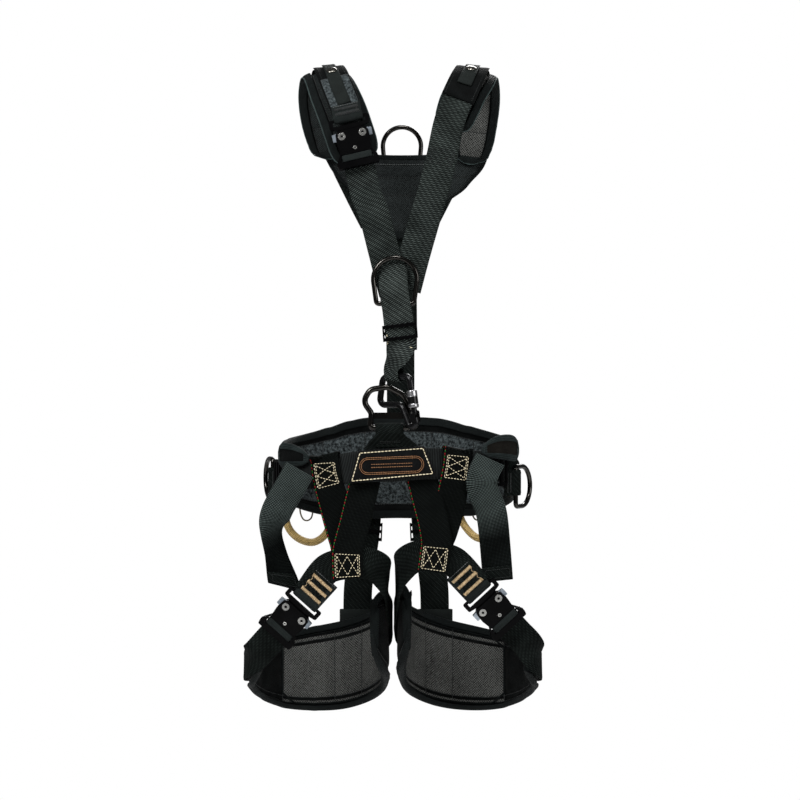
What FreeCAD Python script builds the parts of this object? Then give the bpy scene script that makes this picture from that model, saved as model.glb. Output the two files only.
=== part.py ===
"""Full-body work harness with five attachment rings, three quick-connect buckles and a carabiner.

Millimetres.  +Z is up, the wearer faces -Y, and the wearer's left hand is on the +X side.
The origin is the centre of the ring that the waist belt makes around the wearer.
Each function near the end makes one node.  Soft pieces are plain closed bands that follow
hand-chosen stations; every station is (x, y, z, across_x, across_y, across_z, width).
"""
import FreeCAD, Part
import math
import os

Vec = FreeCAD.Vector

# ---- driving dimensions -------------------------------------------------------------------
WEBBING_WIDTH = 45.0
WEBBING_THICKNESS = 2.5
NARROW_WEBBING = 42.0
SHOULDER_PAD_THICKNESS = 12.0
LEG_PAD_THICKNESS = 14.0
WAIST_PAD_THICKNESS = 12.0
COVER_THICKNESS = 2.0
SPAN_STEPS = 3                 # straight facets between two neighbouring stations

WAIST_CENTRE_X = 3.0           # the belt ellipse, measured to the middle of the webbing
WAIST_HALF_WIDTH = 181.0
WAIST_HALF_DEPTH = 121.0

RING_WIRE = 3.5                # radius of the bar of the round rings
VENTRAL_WIRE = 4.2
RING_GAP = 0.8                 # from a ring bar to the webbing that holds it

CARABINER_ROD = 4.6
GATE_ROD = 4.2
SLEEVE_RADIUS = 7.6
SLEEVE_LENGTH = 25.0
GATE_GAP = 0.6

BUCKLE_WIDTH = 60.0            # quick-connect buckle, measured across the webbing
HOUSING_WIDTH = 50.0
BUCKLE_PLATE = 2.2
BUCKLE_GAP = 6.6               # between the two plates of the housing
LEVER_THICKNESS = 5.6
LEVER_PIVOT = (15.5, 20.0)     # from the middle of the tongue bar: across, along
RIVET_SHAFT = 2.6
RIVET_HEAD = 5.5
PIVOT_CLEARANCE = 0.06
TONGUE_HALF_WIDTH = 8.6
HOUSING_START = 11.0
HOUSING_END = 67.0
STRAP_UNDER_BUCKLE = 8.4       # middle of the webbing behind the middle plane of the buckle

GEAR_LOOP_RADIUS = 5.8
ACCESSORY_RADIUS = 1.3


# ---- geometry helpers ---------------------------------------------------------------------
def curve_through(stations, steps=SPAN_STEPS):
    """Points of a smooth curve that passes through every station."""
    padded = [stations[0]] + list(stations) + [stations[-1]]
    points = []
    for index in range(len(stations) - 1):
        before, start, end, after = padded[index:index + 4]
        for step in range(steps):
            t = step / steps
            point = []
            for a, b, c, d in zip(before, start, end, after):
                slope = (c - a) * t
                bend = (2 * a - 5 * b + 4 * c - d) * t ** 2
                twist = (3 * b - a - 3 * c + d) * t ** 3
                point.append(0.5 * (2 * b + slope + bend + twist))
            points.append(tuple(point))
    points.append(tuple(stations[-1]))
    return points


def band(stations, thickness, steps=SPAN_STEPS, square=True):
    """A flat closed band: a rectangle of each station's width carried along the stations.

    A square band is cut at right angles to its run; otherwise its ends keep their across lines.
    """
    rows = curve_through(stations, steps)
    centres = [Vec(*row[:3]) for row in rows]
    sections = []
    for index, row in enumerate(rows):
        along = centres[min(index + 1, len(rows) - 1)] - centres[max(index - 1, 0)]
        along.normalize()
        face = along.cross(Vec(*row[3:6])).normalize()
        across = face.cross(along) if square else Vec(*row[3:6])
        across.normalize()
        half_width, half_depth = row[6] / 2, thickness / 2
        corners = [centres[index] + across * (u * half_width) + face * (v * half_depth)
                   for u, v in ((-1, -1), (1, -1), (1, 1), (-1, 1))]
        sections.append(Part.makePolygon(corners + corners[:1]))
    return Part.makeLoft(sections, True, True)


def webbing(route, across, width=WEBBING_WIDTH, steps=SPAN_STEPS, thickness=WEBBING_THICKNESS):
    """A strap whose across direction is the same at every point of its route."""
    return band([point + across + (width,) for point in route], thickness, steps)


def rounded_edges(points, radii, closed):
    """Straight runs joined by tangent arcs, one radius for each point."""
    count = len(points)
    entries, exits, arcs = [], [], []
    for index in range(count):
        corner = Vec(*points[index])
        if not closed and index in (0, count - 1):
            entries.append(corner)
            exits.append(corner)
            arcs.append(None)
            continue
        back = (Vec(*points[index - 1]) - corner).normalize()
        ahead = (Vec(*points[(index + 1) % count]) - corner).normalize()
        half = back.getAngle(ahead) / 2
        setback = radii[index] / math.tan(half)
        middle = (back + ahead).normalize() * (radii[index] / math.sin(half) - radii[index])
        entries.append(corner + back * setback)
        exits.append(corner + ahead * setback)
        arcs.append(Part.Arc(entries[-1], corner + middle, exits[-1]).toShape())
    edges = []
    for index in range(count):
        if arcs[index]:
            edges.append(arcs[index])
        if index < count - 1 or closed:
            following = (index + 1) % count
            if exits[index].distanceToPoint(entries[following]) > 1e-4:
                edges.append(Part.LineSegment(exits[index], entries[following]).toShape())
    return edges


def round_bar(points, radii, wire, closed=False):
    """A round rod along straight runs and arcs."""
    edges = rounded_edges(points, radii, closed)
    start = edges[0].valueAt(edges[0].FirstParameter)
    tangent = edges[0].tangentAt(edges[0].FirstParameter)
    profile = Part.Wire(Part.makeCircle(wire, start, tangent))
    return Part.Wire(edges).makePipeShell([profile], True, True)


def limp_tube(points, wire):
    """A rod whose arcs are as large as the runs beside them allow."""
    radii = [1.0]
    for index in range(1, len(points) - 1):
        here = Vec(*points[index])
        back, ahead = Vec(*points[index - 1]) - here, Vec(*points[index + 1]) - here
        turn = math.pi - back.getAngle(ahead)
        radii.append(0.45 * min(back.Length, ahead.Length) / math.tan(turn / 2))
    print("tube radii", [round(radius, 1) for radius in radii[1:]])
    return round_bar(points, radii + [1.0], wire)


def plate(points, radius, bottom, top, holes=()):
    """A flat plate in the XY plane with rounded corners; holes are (x, y, radius)."""
    corners = [(x, y, bottom) for x, y in points]
    outline = Part.Wire(rounded_edges(corners, [radius] * len(corners), True))
    solid = Part.Face(outline).extrude(Vec(0, 0, top - bottom))
    for x, y, hole in holes:
        solid = solid.cut(Part.makeCylinder(hole, top - bottom, Vec(x, y, bottom)))
    return solid


def disc(x, y, radius, bottom, top):
    return Part.makeCylinder(radius, top - bottom, Vec(x, y, bottom))


def block(x0, x1, y0, y1, z0, z1):
    return Part.makeBox(x1 - x0, y1 - y0, z1 - z0, Vec(x0, y0, z0))


def frame_at(origin, along, outward):
    """Placement whose local Y runs along, whose local Z faces outward, at the origin given."""
    y_axis = Vec(*along).normalize()
    x_axis = y_axis.cross(Vec(*outward)).normalize()
    z_axis = x_axis.cross(y_axis)
    matrix = FreeCAD.Matrix(x_axis.x, y_axis.x, z_axis.x, origin[0],
                            x_axis.y, y_axis.y, z_axis.y, origin[1],
                            x_axis.z, y_axis.z, z_axis.z, origin[2], 0, 0, 0, 1)
    return FreeCAD.Placement(matrix)


def moved(shape, placement):
    copy = shape.copy()
    copy.Placement = placement.multiply(copy.Placement)
    return copy


def group(*solids):
    return Part.makeCompound(list(solids))


def waist_point(degrees, offset=0.0):
    """A point of the belt ellipse; 0 degrees is the back, +90 the wearer's left hip."""
    angle = math.radians(degrees)
    x = WAIST_CENTRE_X + (WAIST_HALF_WIDTH + offset) * math.sin(angle)
    y = (WAIST_HALF_DEPTH + offset) * math.cos(angle)
    return x, y


def waist_band(rows, offset, thickness, steps=SPAN_STEPS):
    """A band round the waist; rows are (degrees, bottom, top)."""
    stations = []
    for degrees, bottom, top in curve_through(rows, steps):
        x, y = waist_point(degrees, offset)
        stations.append((x, y, (bottom + top) / 2, 0, 0, 1, top - bottom))
    return band(stations, thickness, 1, square=False)


def raised(route, across, height):
    """The route moved off its own surface; height is positive away from the wearer."""
    points = [Vec(*point) for point in route]
    lifted = []
    for index, point in enumerate(points):
        along = points[min(index + 1, len(points) - 1)] - points[max(index - 1, 0)]
        outward = along.cross(Vec(*across)).normalize()
        lifted.append(tuple(point + outward * height))
    return lifted


# ---- back yoke, shoulders and chest -------------------------------------------------------
YOKE_OUTLINE = [(-118, 487), (-68, 493), (-20, 478), (49, 478), (91, 487), (142, 484), (137, 462),
                (102, 424), (74, 405), (45, 374), (41, 352), (-5, 352), (-17, 374), (-70, 427),
                (-100, 456)]
YOKE_Y = (84.0, 93.5)

LEAN_RIGHT, LEAN_LEFT = (1.0, 0.0, 0.3), (1.0, 0.0, -0.3)
PAD_RIGHT = [(-100, 76, 474, 48), (-103, 75, 500, 62), (-109, 68, 532, 68), (-113, 55, 561, 67),
             (-111, 33, 581, 66), (-107, 8, 589, 64), (-102, -22, 580, 62), (-93, -44, 559, 66),
             (-80, -62, 527, 68), (-70, -74, 498, 68), (-61, -80, 470, 66), (-55, -82, 450, 54)]
PAD_LEFT = [(112, 76, 466, 44), (116, 75, 494, 60), (120, 68, 530, 66), (122, 55, 560, 68),
            (121, 33, 581, 66), (119, 8, 589, 62), (115, -22, 578, 60), (103, -45, 557, 58),
            (91, -64, 529, 56), (80, -76, 498, 46)]
STRAP_RIGHT = [(-34, 96, 377), (-59, 96, 426), (-84, 96, 480), (-99, 92.5, 537), (-106, 78, 566),
               (-107, 48, 589), (-103, 8, 599), (-96, -32, 587), (-86, -60, 562), (-75, -80, 534),
               (-70, -88, 520)]
STRAP_LEFT = [(43, 96, 377), (68, 96, 426), (96, 96, 480), (114, 92, 537), (120, 78, 566),
              (121, 48, 589), (117, 8, 599), (110, -32, 586), (98, -60, 560), (86, -80, 531),
              (76, -92, 500), (66, -98, 452), (54, -103, 405), (39, -105, 354), (26, -105.5, 308),
              (14, -105.5, 262)]
CHEST_RIGHT = [(-61, -87, 478), (-52, -91, 440), (-44, -95, 403), (-32, -101, 373),
               (-18, -108, 319), (-9, -110, 283), (-2, -110, 256)]


def shoulder_pad(rows, lean):
    return band([(x, y, z) + lean + (width,) for x, y, z, width in rows], SHOULDER_PAD_THICKNESS)


def back_yoke():
    outline = [(x, YOKE_Y[0], z) for x, z in YOKE_OUTLINE]
    wire = Part.Wire(rounded_edges(outline, [5.0] * len(outline), True))
    return Part.Face(wire).extrude(Vec(0, YOKE_Y[1] - YOKE_Y[0], 0))


COVER_RAISE, KEEPER_RAISE = 3.0, 5.8
TOP_ROW = 6 * SPAN_STEPS       # the straps' smooth rows start to fall to the front here


def over_strap(route, lean, first, last, height):
    """Stations parallel to part of a shoulder strap, lifted off it."""
    rows = raised(curve_through(route), lean, height)
    return rows[TOP_ROW + first:TOP_ROW + last]


def layer(route, lean, first, last, height, width):
    rows = over_strap(route, lean, first, last, height)
    return webbing(rows, lean, width, 1, COVER_THICKNESS)


def shoulder_covers():
    """Hook-and-loop cover on the right strap and the sleeve on the left strap."""
    return group(layer(STRAP_RIGHT, LEAN_RIGHT, 0, 13, COVER_RAISE, 46),
                 layer(STRAP_LEFT, LEAN_LEFT, 0, 8, COVER_RAISE, 50))


def keeper_loops():
    """Ribbed keepers on both shoulders and the elastic keepers on the rear risers."""
    solids = [layer(STRAP_RIGHT, LEAN_RIGHT, 0, 9, KEEPER_RAISE, 20),
              layer(STRAP_LEFT, LEAN_LEFT, 0, 7, KEEPER_RAISE, 22)]
    for x in (-61, 60):
        outer = block(x - 26, x + 26, 103.5, 113.5, -243, -222)
        inner = block(x - 23.6, x + 23.6, 105.9, 111.1, -244, -221)
        solids.append(outer.cut(inner))
    return group(*solids)


def snap_studs():
    """One domed snap on each keeper, where the strap starts to fall to the front."""
    caps = []
    for route, lean in ((STRAP_RIGHT, LEAN_RIGHT), (STRAP_LEFT, LEAN_LEFT)):
        foot, head = (Vec(*over_strap(route, lean, 3, 4, height)[0])
                      for height in (KEEPER_RAISE + 1.6, 20))
        direction = (head - foot).normalize()
        base = Part.makeCylinder(8.0, 1.6, foot, direction)
        dome = Part.makeCone(7.0, 4.0, 2.4, foot + direction * 1.6, direction)
        caps.append(base.fuse(dome).removeSplitter())
    return group(*caps)


# ---- rings --------------------------------------------------------------------------------
def d_ring(bar, arch_z, half_width, bar_half, wire, corner=4.5):
    """A D-ring in the XZ plane: a round arch whose legs draw together to a straight bar."""
    centre_x, y, bar_z = bar
    drop = arch_z - bar_z
    reach = math.hypot(bar_half, drop)
    below = math.atan2(drop, bar_half) - math.acos(half_width / reach)
    leg_x, leg_z = half_width * math.cos(below), arch_z - half_width * math.sin(below)
    start, end = (Vec(centre_x + sign * leg_x, y, leg_z) for sign in (-1, 1))
    arch = Part.Arc(start, Vec(centre_x, y, arch_z + half_width), end).toShape()
    legs = rounded_edges([tuple(end), (centre_x + bar_half, y, bar_z),
                          (centre_x - bar_half, y, bar_z), tuple(start)],
                         [0, corner, corner, 0], False)
    along = Vec(-math.sin(below), 0, math.cos(below))
    profile = Part.Wire(Part.makeCircle(wire, start, along))
    return Part.Wire([arch] + legs).makePipeShell([profile], True, True)


DORSAL_BAR = (9.0, 104.6, 470.0)
DORSAL_ARCH_Z, DORSAL_HALF, DORSAL_BAR_HALF = 495.0, 29.5, 27.5
STERNAL_BAR = (-1.0, -120.0, 241.0)
STERNAL_ARCH_Z, STERNAL_HALF, STERNAL_BAR_HALF = 276.0, 31.5, 27.0
VENTRAL_BAR = (-9.0, -131.0, 62.0)


def dorsal_ring():
    return d_ring(DORSAL_BAR, DORSAL_ARCH_Z, DORSAL_HALF, DORSAL_BAR_HALF, RING_WIRE)


def sternal_ring():
    return d_ring(STERNAL_BAR, STERNAL_ARCH_Z, STERNAL_HALF, STERNAL_BAR_HALF, RING_WIRE)


def ventral_ring():
    """Forged ring: an arch, a flat plate across it, and a lower slot bar for the webbing."""
    x, y, z = VENTRAL_BAR
    outline = [(x - 28, y, z), (x - 26, y, z + 21), (x - 38, y, z + 38), (x - 28, y, z + 55),
               (x - 3, y, z + 59), (x + 20, y, z + 47), (x + 30, y, z + 24), (x + 29, y, z)]
    rod = round_bar(outline, [5, 9, 14, 14, 18, 17, 12, 5], VENTRAL_WIRE, closed=True)
    plate_bar = block(x - 26, x + 28, y - 2.6, y + 2.6, z + 13, z + 22)
    return rod.fuse(plate_bar).removeSplitter()


def half_turn(bar, radius, across, side, upward, width):
    """Stations of webbing that turns round a bar, from the -side face to the +side face."""
    stations = []
    for step in range(7):
        angle = math.pi * step / 6
        shift = Vec(*side) * (-radius * math.cos(angle))
        rise = upward * radius * math.sin(angle)
        stations.append((bar[0] + shift.x, bar[1] + shift.y, bar[2] + rise) + across + (width,))
    return stations


def dorsal_tab():
    radius = RING_WIRE + RING_GAP + WEBBING_THICKNESS / 2
    x, y, z = DORSAL_BAR
    level = (1.0, 0.0, 0.0)
    inner = [(x, y - radius, height) + level + (WEBBING_WIDTH,) for height in (405, 440)]
    outer = [(x, y + radius - lean, height) + level + (WEBBING_WIDTH,)
             for height, lean in ((440, 0), (414, 2))]
    turn = half_turn(DORSAL_BAR, radius, level, (0, 1, 0), 1, WEBBING_WIDTH)
    return band(inner + turn + outer, WEBBING_THICKNESS, 1)


def ventral_tab():
    """Two folded layers that hold the slot bar of the ventral ring and widen to the belt."""
    radius = VENTRAL_WIRE + RING_GAP + WEBBING_THICKNESS / 2
    x, y, z = VENTRAL_BAR
    level, narrow = (1.0, 0.0, 0.0), 41
    front = [(x + 2, -123.9, 26) + level + (88,), (x + 1, -123.9, 38) + level + (70,),
             (x, y - radius + 1, 53) + level + (narrow,)]
    back = [(x, y + radius, 50) + level + (narrow,), (x, -124, 33) + level + (narrow,)]
    turn = half_turn(VENTRAL_BAR, radius, level, (0, 1, 0), 1, narrow)
    return band(front + turn + back, WEBBING_THICKNESS, 1)


# ---- sternal strap, sliders and carabiner -------------------------------------------------
CARABINER_CENTRE = (0.0, -129.0, 98.0)
CARABINER_TURN = 40.0          # degrees that its plane is turned about Z, gate side forward


def carabiner_point(u, z):
    angle = math.radians(CARABINER_TURN)
    x, y, _ = CARABINER_CENTRE
    return x + u * math.cos(angle), y - u * math.sin(angle), z


GATE_FOOT = carabiner_point(35.5, 80)
GATE_NOSE = carabiner_point(29, 118)
LOOP_BAR = carabiner_point(-3, 135.5)


def gate_direction():
    return (Vec(*GATE_NOSE) - Vec(*GATE_FOOT)).normalize()


def carabiner_body():
    direction = gate_direction()
    nose_end = Vec(*GATE_NOSE) + direction * GATE_GAP
    points = [tuple(nose_end), carabiner_point(26, 135.5), carabiner_point(-24, 135.5),
              carabiner_point(-31, 95), carabiner_point(11, 95), carabiner_point(26, 64),
              carabiner_point(39, 64), tuple(Vec(*GATE_FOOT) - direction * 4)]
    rod = round_bar(points, [0, 9, 10, 9, 12, 6, 6, 0], CARABINER_ROD)
    hinge = Vec(*GATE_FOOT) + direction * 4
    slot = Part.makeCylinder(GATE_ROD + 1.0, 30, hinge - direction * 1.0, direction)
    cheeks = []
    side = hinge_axis()
    for sign in (-1, 1):
        centre = hinge + side * (sign * (GATE_ROD + 0.6 + 0.9)) - side * 0.9
        tongue = Part.makeCylinder(4.0, 1.8, centre, side)
        arm = Part.makeBox(8.0, 14.0, 1.8)
        local = FreeCAD.Placement(centre, FreeCAD.Rotation(direction.cross(side), direction,
                                                           side, "ZXY"))
        arm.Placement = local.multiply(FreeCAD.Placement(Vec(-4.0, -14.0, 0), FreeCAD.Rotation()))
        pin_hole = Part.makeCylinder(1.5, 4.0, centre - side, side)
        cheeks.append(tongue.fuse(arm).cut(pin_hole))
    return rod.cut(slot).fuse(cheeks).removeSplitter()


def hinge_axis():
    angle = math.radians(CARABINER_TURN)
    return Vec(math.sin(angle), math.cos(angle), 0)


def gate_hinge():
    return Vec(*GATE_FOOT) + gate_direction() * 4


def gate_pin():
    side = hinge_axis()
    length = 2 * (GATE_ROD + 0.6 + 1.8)
    return Part.makeCylinder(1.5, length, gate_hinge() - side * (length / 2), side)


def carabiner_gate():
    direction = gate_direction()
    length = (Vec(*GATE_NOSE) - gate_hinge()).Length
    rod = Part.makeCylinder(GATE_ROD, length, gate_hinge(), direction)
    foot = Part.makeSphere(GATE_ROD, gate_hinge())
    side = hinge_axis()
    bore = Part.makeCylinder(1.5 + PIVOT_CLEARANCE, 20, gate_hinge() - side * 10, side)
    return rod.fuse(foot).cut(bore).removeSplitter()


def gate_sleeve():
    direction = gate_direction()
    start = gate_hinge() + direction * 7
    outer = Part.makeCylinder(SLEEVE_RADIUS, SLEEVE_LENGTH, start, direction)
    bore = Part.makeCylinder(GATE_ROD + 0.08, SLEEVE_LENGTH, start, direction)
    return outer.cut(bore)


STERNAL_SLIDER = (6.0, -129.5, 200.0)
SLIDER_ALONG = (0.12, 0.0, -0.99)


def sternal_strap():
    """From behind the chest V, through the ring, through the slider and round the carabiner."""
    radius = CARABINER_ROD + RING_GAP + WEBBING_THICKNESS / 2
    x, y, z = LOOP_BAR
    side = hinge_axis()
    near, far = -side * radius, side * radius
    level, tilt, turned = (1.0, 0.0, 0.0), (0.98, 0.0, 0.14), (side.y, -side.x, 0.0)
    down = [(-4, -114, 300) + level + (40,), (-4, -114, 278) + level + (NARROW_WEBBING,),
            (-3, -121, 261) + level + (NARROW_WEBBING,), (-1, -128, 246) + level + (NARROW_WEBBING,),
            (1.5, -129.5, 232) + tilt + (NARROW_WEBBING,), (6, -129.5, 200) + tilt + (44,),
            (8, -129.5, 184) + tilt + (44,), (2, -132, 164) + (0.9, -0.4, 0) + (38,),
            (x + near.x, y + near.y, 148) + turned + (29,)]
    turn = half_turn(LOOP_BAR, radius, turned, side, -1, 26)
    up = [(x + far.x, y + far.y, 150) + turned + (28,), (3, -124, 166) + (0.9, -0.4, 0) + (34,),
          (7, -125, 180) + level + (38,)]
    return band(down + turn + up, WEBBING_THICKNESS, 1)


def three_bar_slider(width, height, reach):
    """Two bars in front of the webbing and one behind it, joined by side posts."""
    half, post, bar = width / 2, 4.0, 5.0
    posts = [block(sign * half - post / 2, sign * half + post / 2, -height / 2, height / 2,
                   -reach, reach) for sign in (-1, 1)]
    front = [block(-half, half, y, y + bar, reach - 2.4, reach)
             for y in (-height / 2, height / 2 - bar)]
    middle = block(-half, half, -bar / 2, bar / 2, -reach, -reach + 2.4)
    body = posts[0].fuse(posts[1:] + front + [middle]).removeSplitter()
    return body


def sternal_slider():
    body = three_bar_slider(50, 23, WEBBING_THICKNESS / 2 + 0.9 + 2.4)
    return moved(body, frame_at(STERNAL_SLIDER, SLIDER_ALONG, (0, -1, 0)))


BACK_STRAP_ALONG = (0.0, 0.10, -0.995)
BACK_SLIDER = (9.5, 104.9, 305.0)


def back_strap():
    """The strap from the yoke to the waist pad, with its short tail beside the slider."""
    route = [(7, 99.3, 398), (7, 99.3, 350), (7, 103.3, 300), (7, 110.8, 225), (7, 117, 160),
             (7, 123, 95), (7, 127, 60), (7, 127, -6)]
    tail = [(10.5, 104.7, 332), (11, 107, 300), (12, 114.4, 225), (12, 118.6, 180)]
    return group(webbing(route, (1.0, 0.0, 0.0), 43), webbing(tail, (1.0, 0.0, 0.0), 41))


def back_slider():
    body = three_bar_slider(54, 26, 7.0)
    return moved(body, frame_at(BACK_SLIDER, BACK_STRAP_ALONG, (0, 1, 0)))


# ---- quick-connect buckles ----------------------------------------------------------------
CHEST_BUCKLE = frame_at((-68, -93, 507), (0.225, -0.10, -0.97), (0, -1, 0))
LEG_BUCKLE_RIGHT = frame_at((-135, -92, -194), (-0.65, 0.22, -0.725), (0, -1, 0))
LEG_BUCKLE_LEFT = frame_at((124, -92, -182), (0.66, 0.22, -0.715), (0, -1, 0))


def tongue():
    """The half that is sewn in: a wide slotted frame and a blade that the levers catch."""
    half = BUCKLE_WIDTH / 2
    frame = plate([(-half, -7), (half, -7), (half, 7), (14, 10), (-14, 10), (-half, 7)],
                  3.0, -2.6, 2.6)
    slot = block(-24, 24, -3.6, 3.4, -4, 4)
    blade = plate([(-TONGUE_HALF_WIDTH, 6), (TONGUE_HALF_WIDTH, 6), (TONGUE_HALF_WIDTH, 32),
                   (5, 37), (-5, 37), (-TONGUE_HALF_WIDTH, 32)], 1.5, -2.0, 2.0)
    notches = [block(sign * 7.2 - 1.6, sign * 7.2 + 1.6, 23, 29, -3, 3) for sign in (-1, 1)]
    return frame.cut(slot).fuse(blade.cut(notches)).removeSplitter()


def housing_plate(bottom, top):
    half, foot = HOUSING_WIDTH / 2, BUCKLE_WIDTH / 2 + 1.5
    pivot_x, pivot_y = LEVER_PIVOT
    holes = [(pivot_x, pivot_y, RIVET_SHAFT), (-pivot_x, pivot_y, RIVET_SHAFT), (0, 40, 1.8)]
    outline = [(-19, HOUSING_START), (19, HOUSING_START), (half - 1, 16), (half, 30), (23, 44),
               (foot - 4, 52), (foot, 60), (foot - 2, HOUSING_END), (2 - foot, HOUSING_END),
               (-foot, 60), (4 - foot, 52), (-23, 44), (-half, 30), (1 - half, 16)]
    return plate(outline, 2.2, bottom, top, holes)


def housing():
    """Front and back plates, side spacers and the bar that the adjusting webbing turns round."""
    inner, outer = BUCKLE_GAP / 2, BUCKLE_GAP / 2 + BUCKLE_PLATE
    window = block(-23.5, 23.5, 47, 58, -outer - 1, outer + 1)
    front = housing_plate(inner, outer).cut(window)
    back = housing_plate(-outer, -inner).cut(window)
    spacers = [block(sign * 27.2 - 2.4, sign * 27.2 + 2.4, 53.5, 65, -inner, inner)
               for sign in (-1, 1)]
    end_bar = block(-24.8, 24.8, 60, 65, -inner, inner)
    wrapped_bar = block(-27, 27, 51, 53.4, -1.2, 1.2)
    stop = block(-20, 20, 44, 46, -inner, inner)
    return group(front, back, end_bar, stop, wrapped_bar, *spacers)


def housing_rivets():
    reach = BUCKLE_GAP / 2 + BUCKLE_PLATE
    rivets = []
    for x, y, shaft, head in ((LEVER_PIVOT[0], LEVER_PIVOT[1], RIVET_SHAFT, RIVET_HEAD),
                              (-LEVER_PIVOT[0], LEVER_PIVOT[1], RIVET_SHAFT, RIVET_HEAD),
                              (0, 40, 1.8, 2.8)):
        body = disc(x, y, shaft, -reach, reach)
        heads = [disc(x, y, head, reach, reach + 1.1), disc(x, y, head, -reach - 1.1, -reach)]
        eye = disc(x, y, head * 0.36, reach + 0.2, reach + 2)
        rivets.append(body.fuse(heads).cut(eye).removeSplitter())
    return group(*rivets)


def lever(sign):
    """A spring catch on its rivet: a tip to pinch and a hook beside the blade."""
    outline = [(10.0, 23.4), (14.5, 13.5), (21, 13.5), (29.5, 14.5), (29.5, 25.5), (22, 25.5),
               (16, 30), (9.4, 29)]
    pivot_x, pivot_y = LEVER_PIVOT
    body = plate(outline, 1.2, -LEVER_THICKNESS / 2, LEVER_THICKNESS / 2,
                 [(pivot_x, pivot_y, RIVET_SHAFT + PIVOT_CLEARANCE)])
    return body if sign > 0 else body.mirror(Vec(0, 0, 0), Vec(1, 0, 0))


def buckle_wrap():
    """The webbing band that turns round the wrapped bar, seen in the housing's window."""
    outer = block(-22.2, 22.2, 48.2, 57.2, -4.6, 7.0)
    hollow = block(-23, 23, 50.6, 53.8, -1.6, 1.6)
    return outer.cut(hollow)


# ---- waist --------------------------------------------------------------------------------
BELT_ROWS = [(-122, -22, 23), (-105, -34, 11), (-90, -40, 5), (-60, -38, 7), (-30, -33, 12),
             (0, -31, 14), (30, -33, 12), (60, -36, 9), (90, -36, 9), (105, -28, 17),
             (122, -16, 29)]
PAD_ROWS = [(-126, 0, 26), (-112, -34, 34), (-90, -48, 38), (-70, -58, 44), (-45, -72, 54),
            (-20, -80, 72), (0, -80, 74), (22, -80, 72), (45, -73, 57), (70, -58, 46),
            (90, -46, 42), (112, -30, 40), (126, 6, 32)]
FRONT_ROUTE = [(-153.5, -66, -2), (-128, -88, -6), (-100, -103, -3), (-58, -117.5, 5),
               (-6, -121, 6.5), (46, -117.5, 10), (88, -106, 8), (131, -89, 5), (159, -66, 5)]
LABEL_OUTLINE = [(-54, 29), (41, 36), (59, -7), (-69, -19)]
LABEL_Y = (-128.5, -125.5)


def waist_pad():
    return waist_band(PAD_ROWS, -9.5, WAIST_PAD_THICKNESS)


def waist_flaps():
    """Arched outer pads over the hips; they hide the adjusters."""
    right = waist_band([(-113, 3, 38), (-120, 4, 38), (-129, 6, 34), (-137, 9, 24)], 10.0, 5.0)
    left = waist_band([(114, 11, 44), (122, 14, 50), (132, 18, 48), (141, 22, 36)], 13.2, 5.0)
    return group(right, left)


def waist_belt():
    around = waist_band(BELT_ROWS, 0.0, WEBBING_THICKNESS)
    across_rows = [point + (0, 0, 1, WEBBING_WIDTH) for point in FRONT_ROUTE]
    return group(around, band(across_rows, WEBBING_THICKNESS))


def adjuster_frame(degrees, height, offset):
    x, y = waist_point(degrees, offset)
    slope = waist_point(degrees + 1, offset)
    along = (slope[0] - x, slope[1] - y, 0)
    frame = plate([(-27, -12), (27, -12), (27, 12), (-27, 12)], 4, -1.5, 1.5)
    windows = [block(-22.5, 22.5, start, start + 7, -2, 2) for start in (-9, 2)]
    outward = (x - WAIST_CENTRE_X, y, 0)
    return moved(frame.cut(windows), frame_at((x, y, height), along, outward))


def waist_adjusters():
    return group(adjuster_frame(-105, -13, 4.6), adjuster_frame(127, 3, 8.6))


def waist_tails():
    right = [(-139, -108, 1, 0.78, 0, -0.62, 45), (-157, -108, -31, 0.8, 0, -0.6, 45),
             (-173, -103, -60, 0.84, 0.1, -0.45, 45), (-180, -94, -90, 0.6, 0.75, -0.2, 45),
             (-174, -84, -126, 0.65, 0.7, -0.1, 45), (-162, -78, -172, 0.93, 0.2, -0.3, 45)]
    left = [(137, -108, 16, 0.95, 0, -0.2, 45), (124, -114, -18, 0.87, 0, 0.48, 45),
            (138, -105, -59, 0.96, 0, 0.28, 45), (144, -94, -102, 0.98, 0.1, 0.1, 45),
            (149, -80, -162, 0.98, 0.1, 0.08, 45)]
    return group(band(right, WEBBING_THICKNESS), band(left, WEBBING_THICKNESS))


def label_patch():
    outline = [(x, LABEL_Y[0], z) for x, z in LABEL_OUTLINE]
    wire = Part.Wire(rounded_edges(outline, [3.0] * 4, True))
    return Part.Face(wire).extrude(Vec(0, LABEL_Y[1] - LABEL_Y[0], 0))


# belt angle, height of the ring, height and width of its tab, heading of the bow from +X
SIDE_RINGS = {"right": (-90, -16.0, -19.0, 40.0, 106.0), "left": (112, -26.0, -20.0, 38.0, 62.0)}
SIDE_BAR_OFFSET = 6.6
SIDE_HALF, SIDE_REACH = 29.5, 21.0


def side_ring(side):
    """A D-ring with an upright bar, its bow pointing along the heading."""
    degrees, height, _tab_height, _tab_width, heading = SIDE_RINGS[side]
    x, y = waist_point(degrees, SIDE_BAR_OFFSET)
    out = Vec(math.cos(math.radians(heading)), math.sin(math.radians(heading)), 0)
    centre = Vec(x, y, height)
    up = Vec(0, 0, 1)
    low = centre - up * SIDE_HALF + out * SIDE_REACH
    high = centre + up * SIDE_HALF + out * SIDE_REACH
    bow = Part.Arc(low, centre + out * (SIDE_REACH + SIDE_HALF), high).toShape()
    feet = [tuple(high), tuple(centre + up * SIDE_HALF), tuple(centre - up * SIDE_HALF), tuple(low)]
    legs = rounded_edges(feet, [0, 6.0, 6.0, 0], False)
    profile = Part.Wire(Part.makeCircle(RING_WIRE, low, bow.tangentAt(bow.FirstParameter)))
    return Part.Wire([bow] + legs).makePipeShell([profile], True, True)


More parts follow.
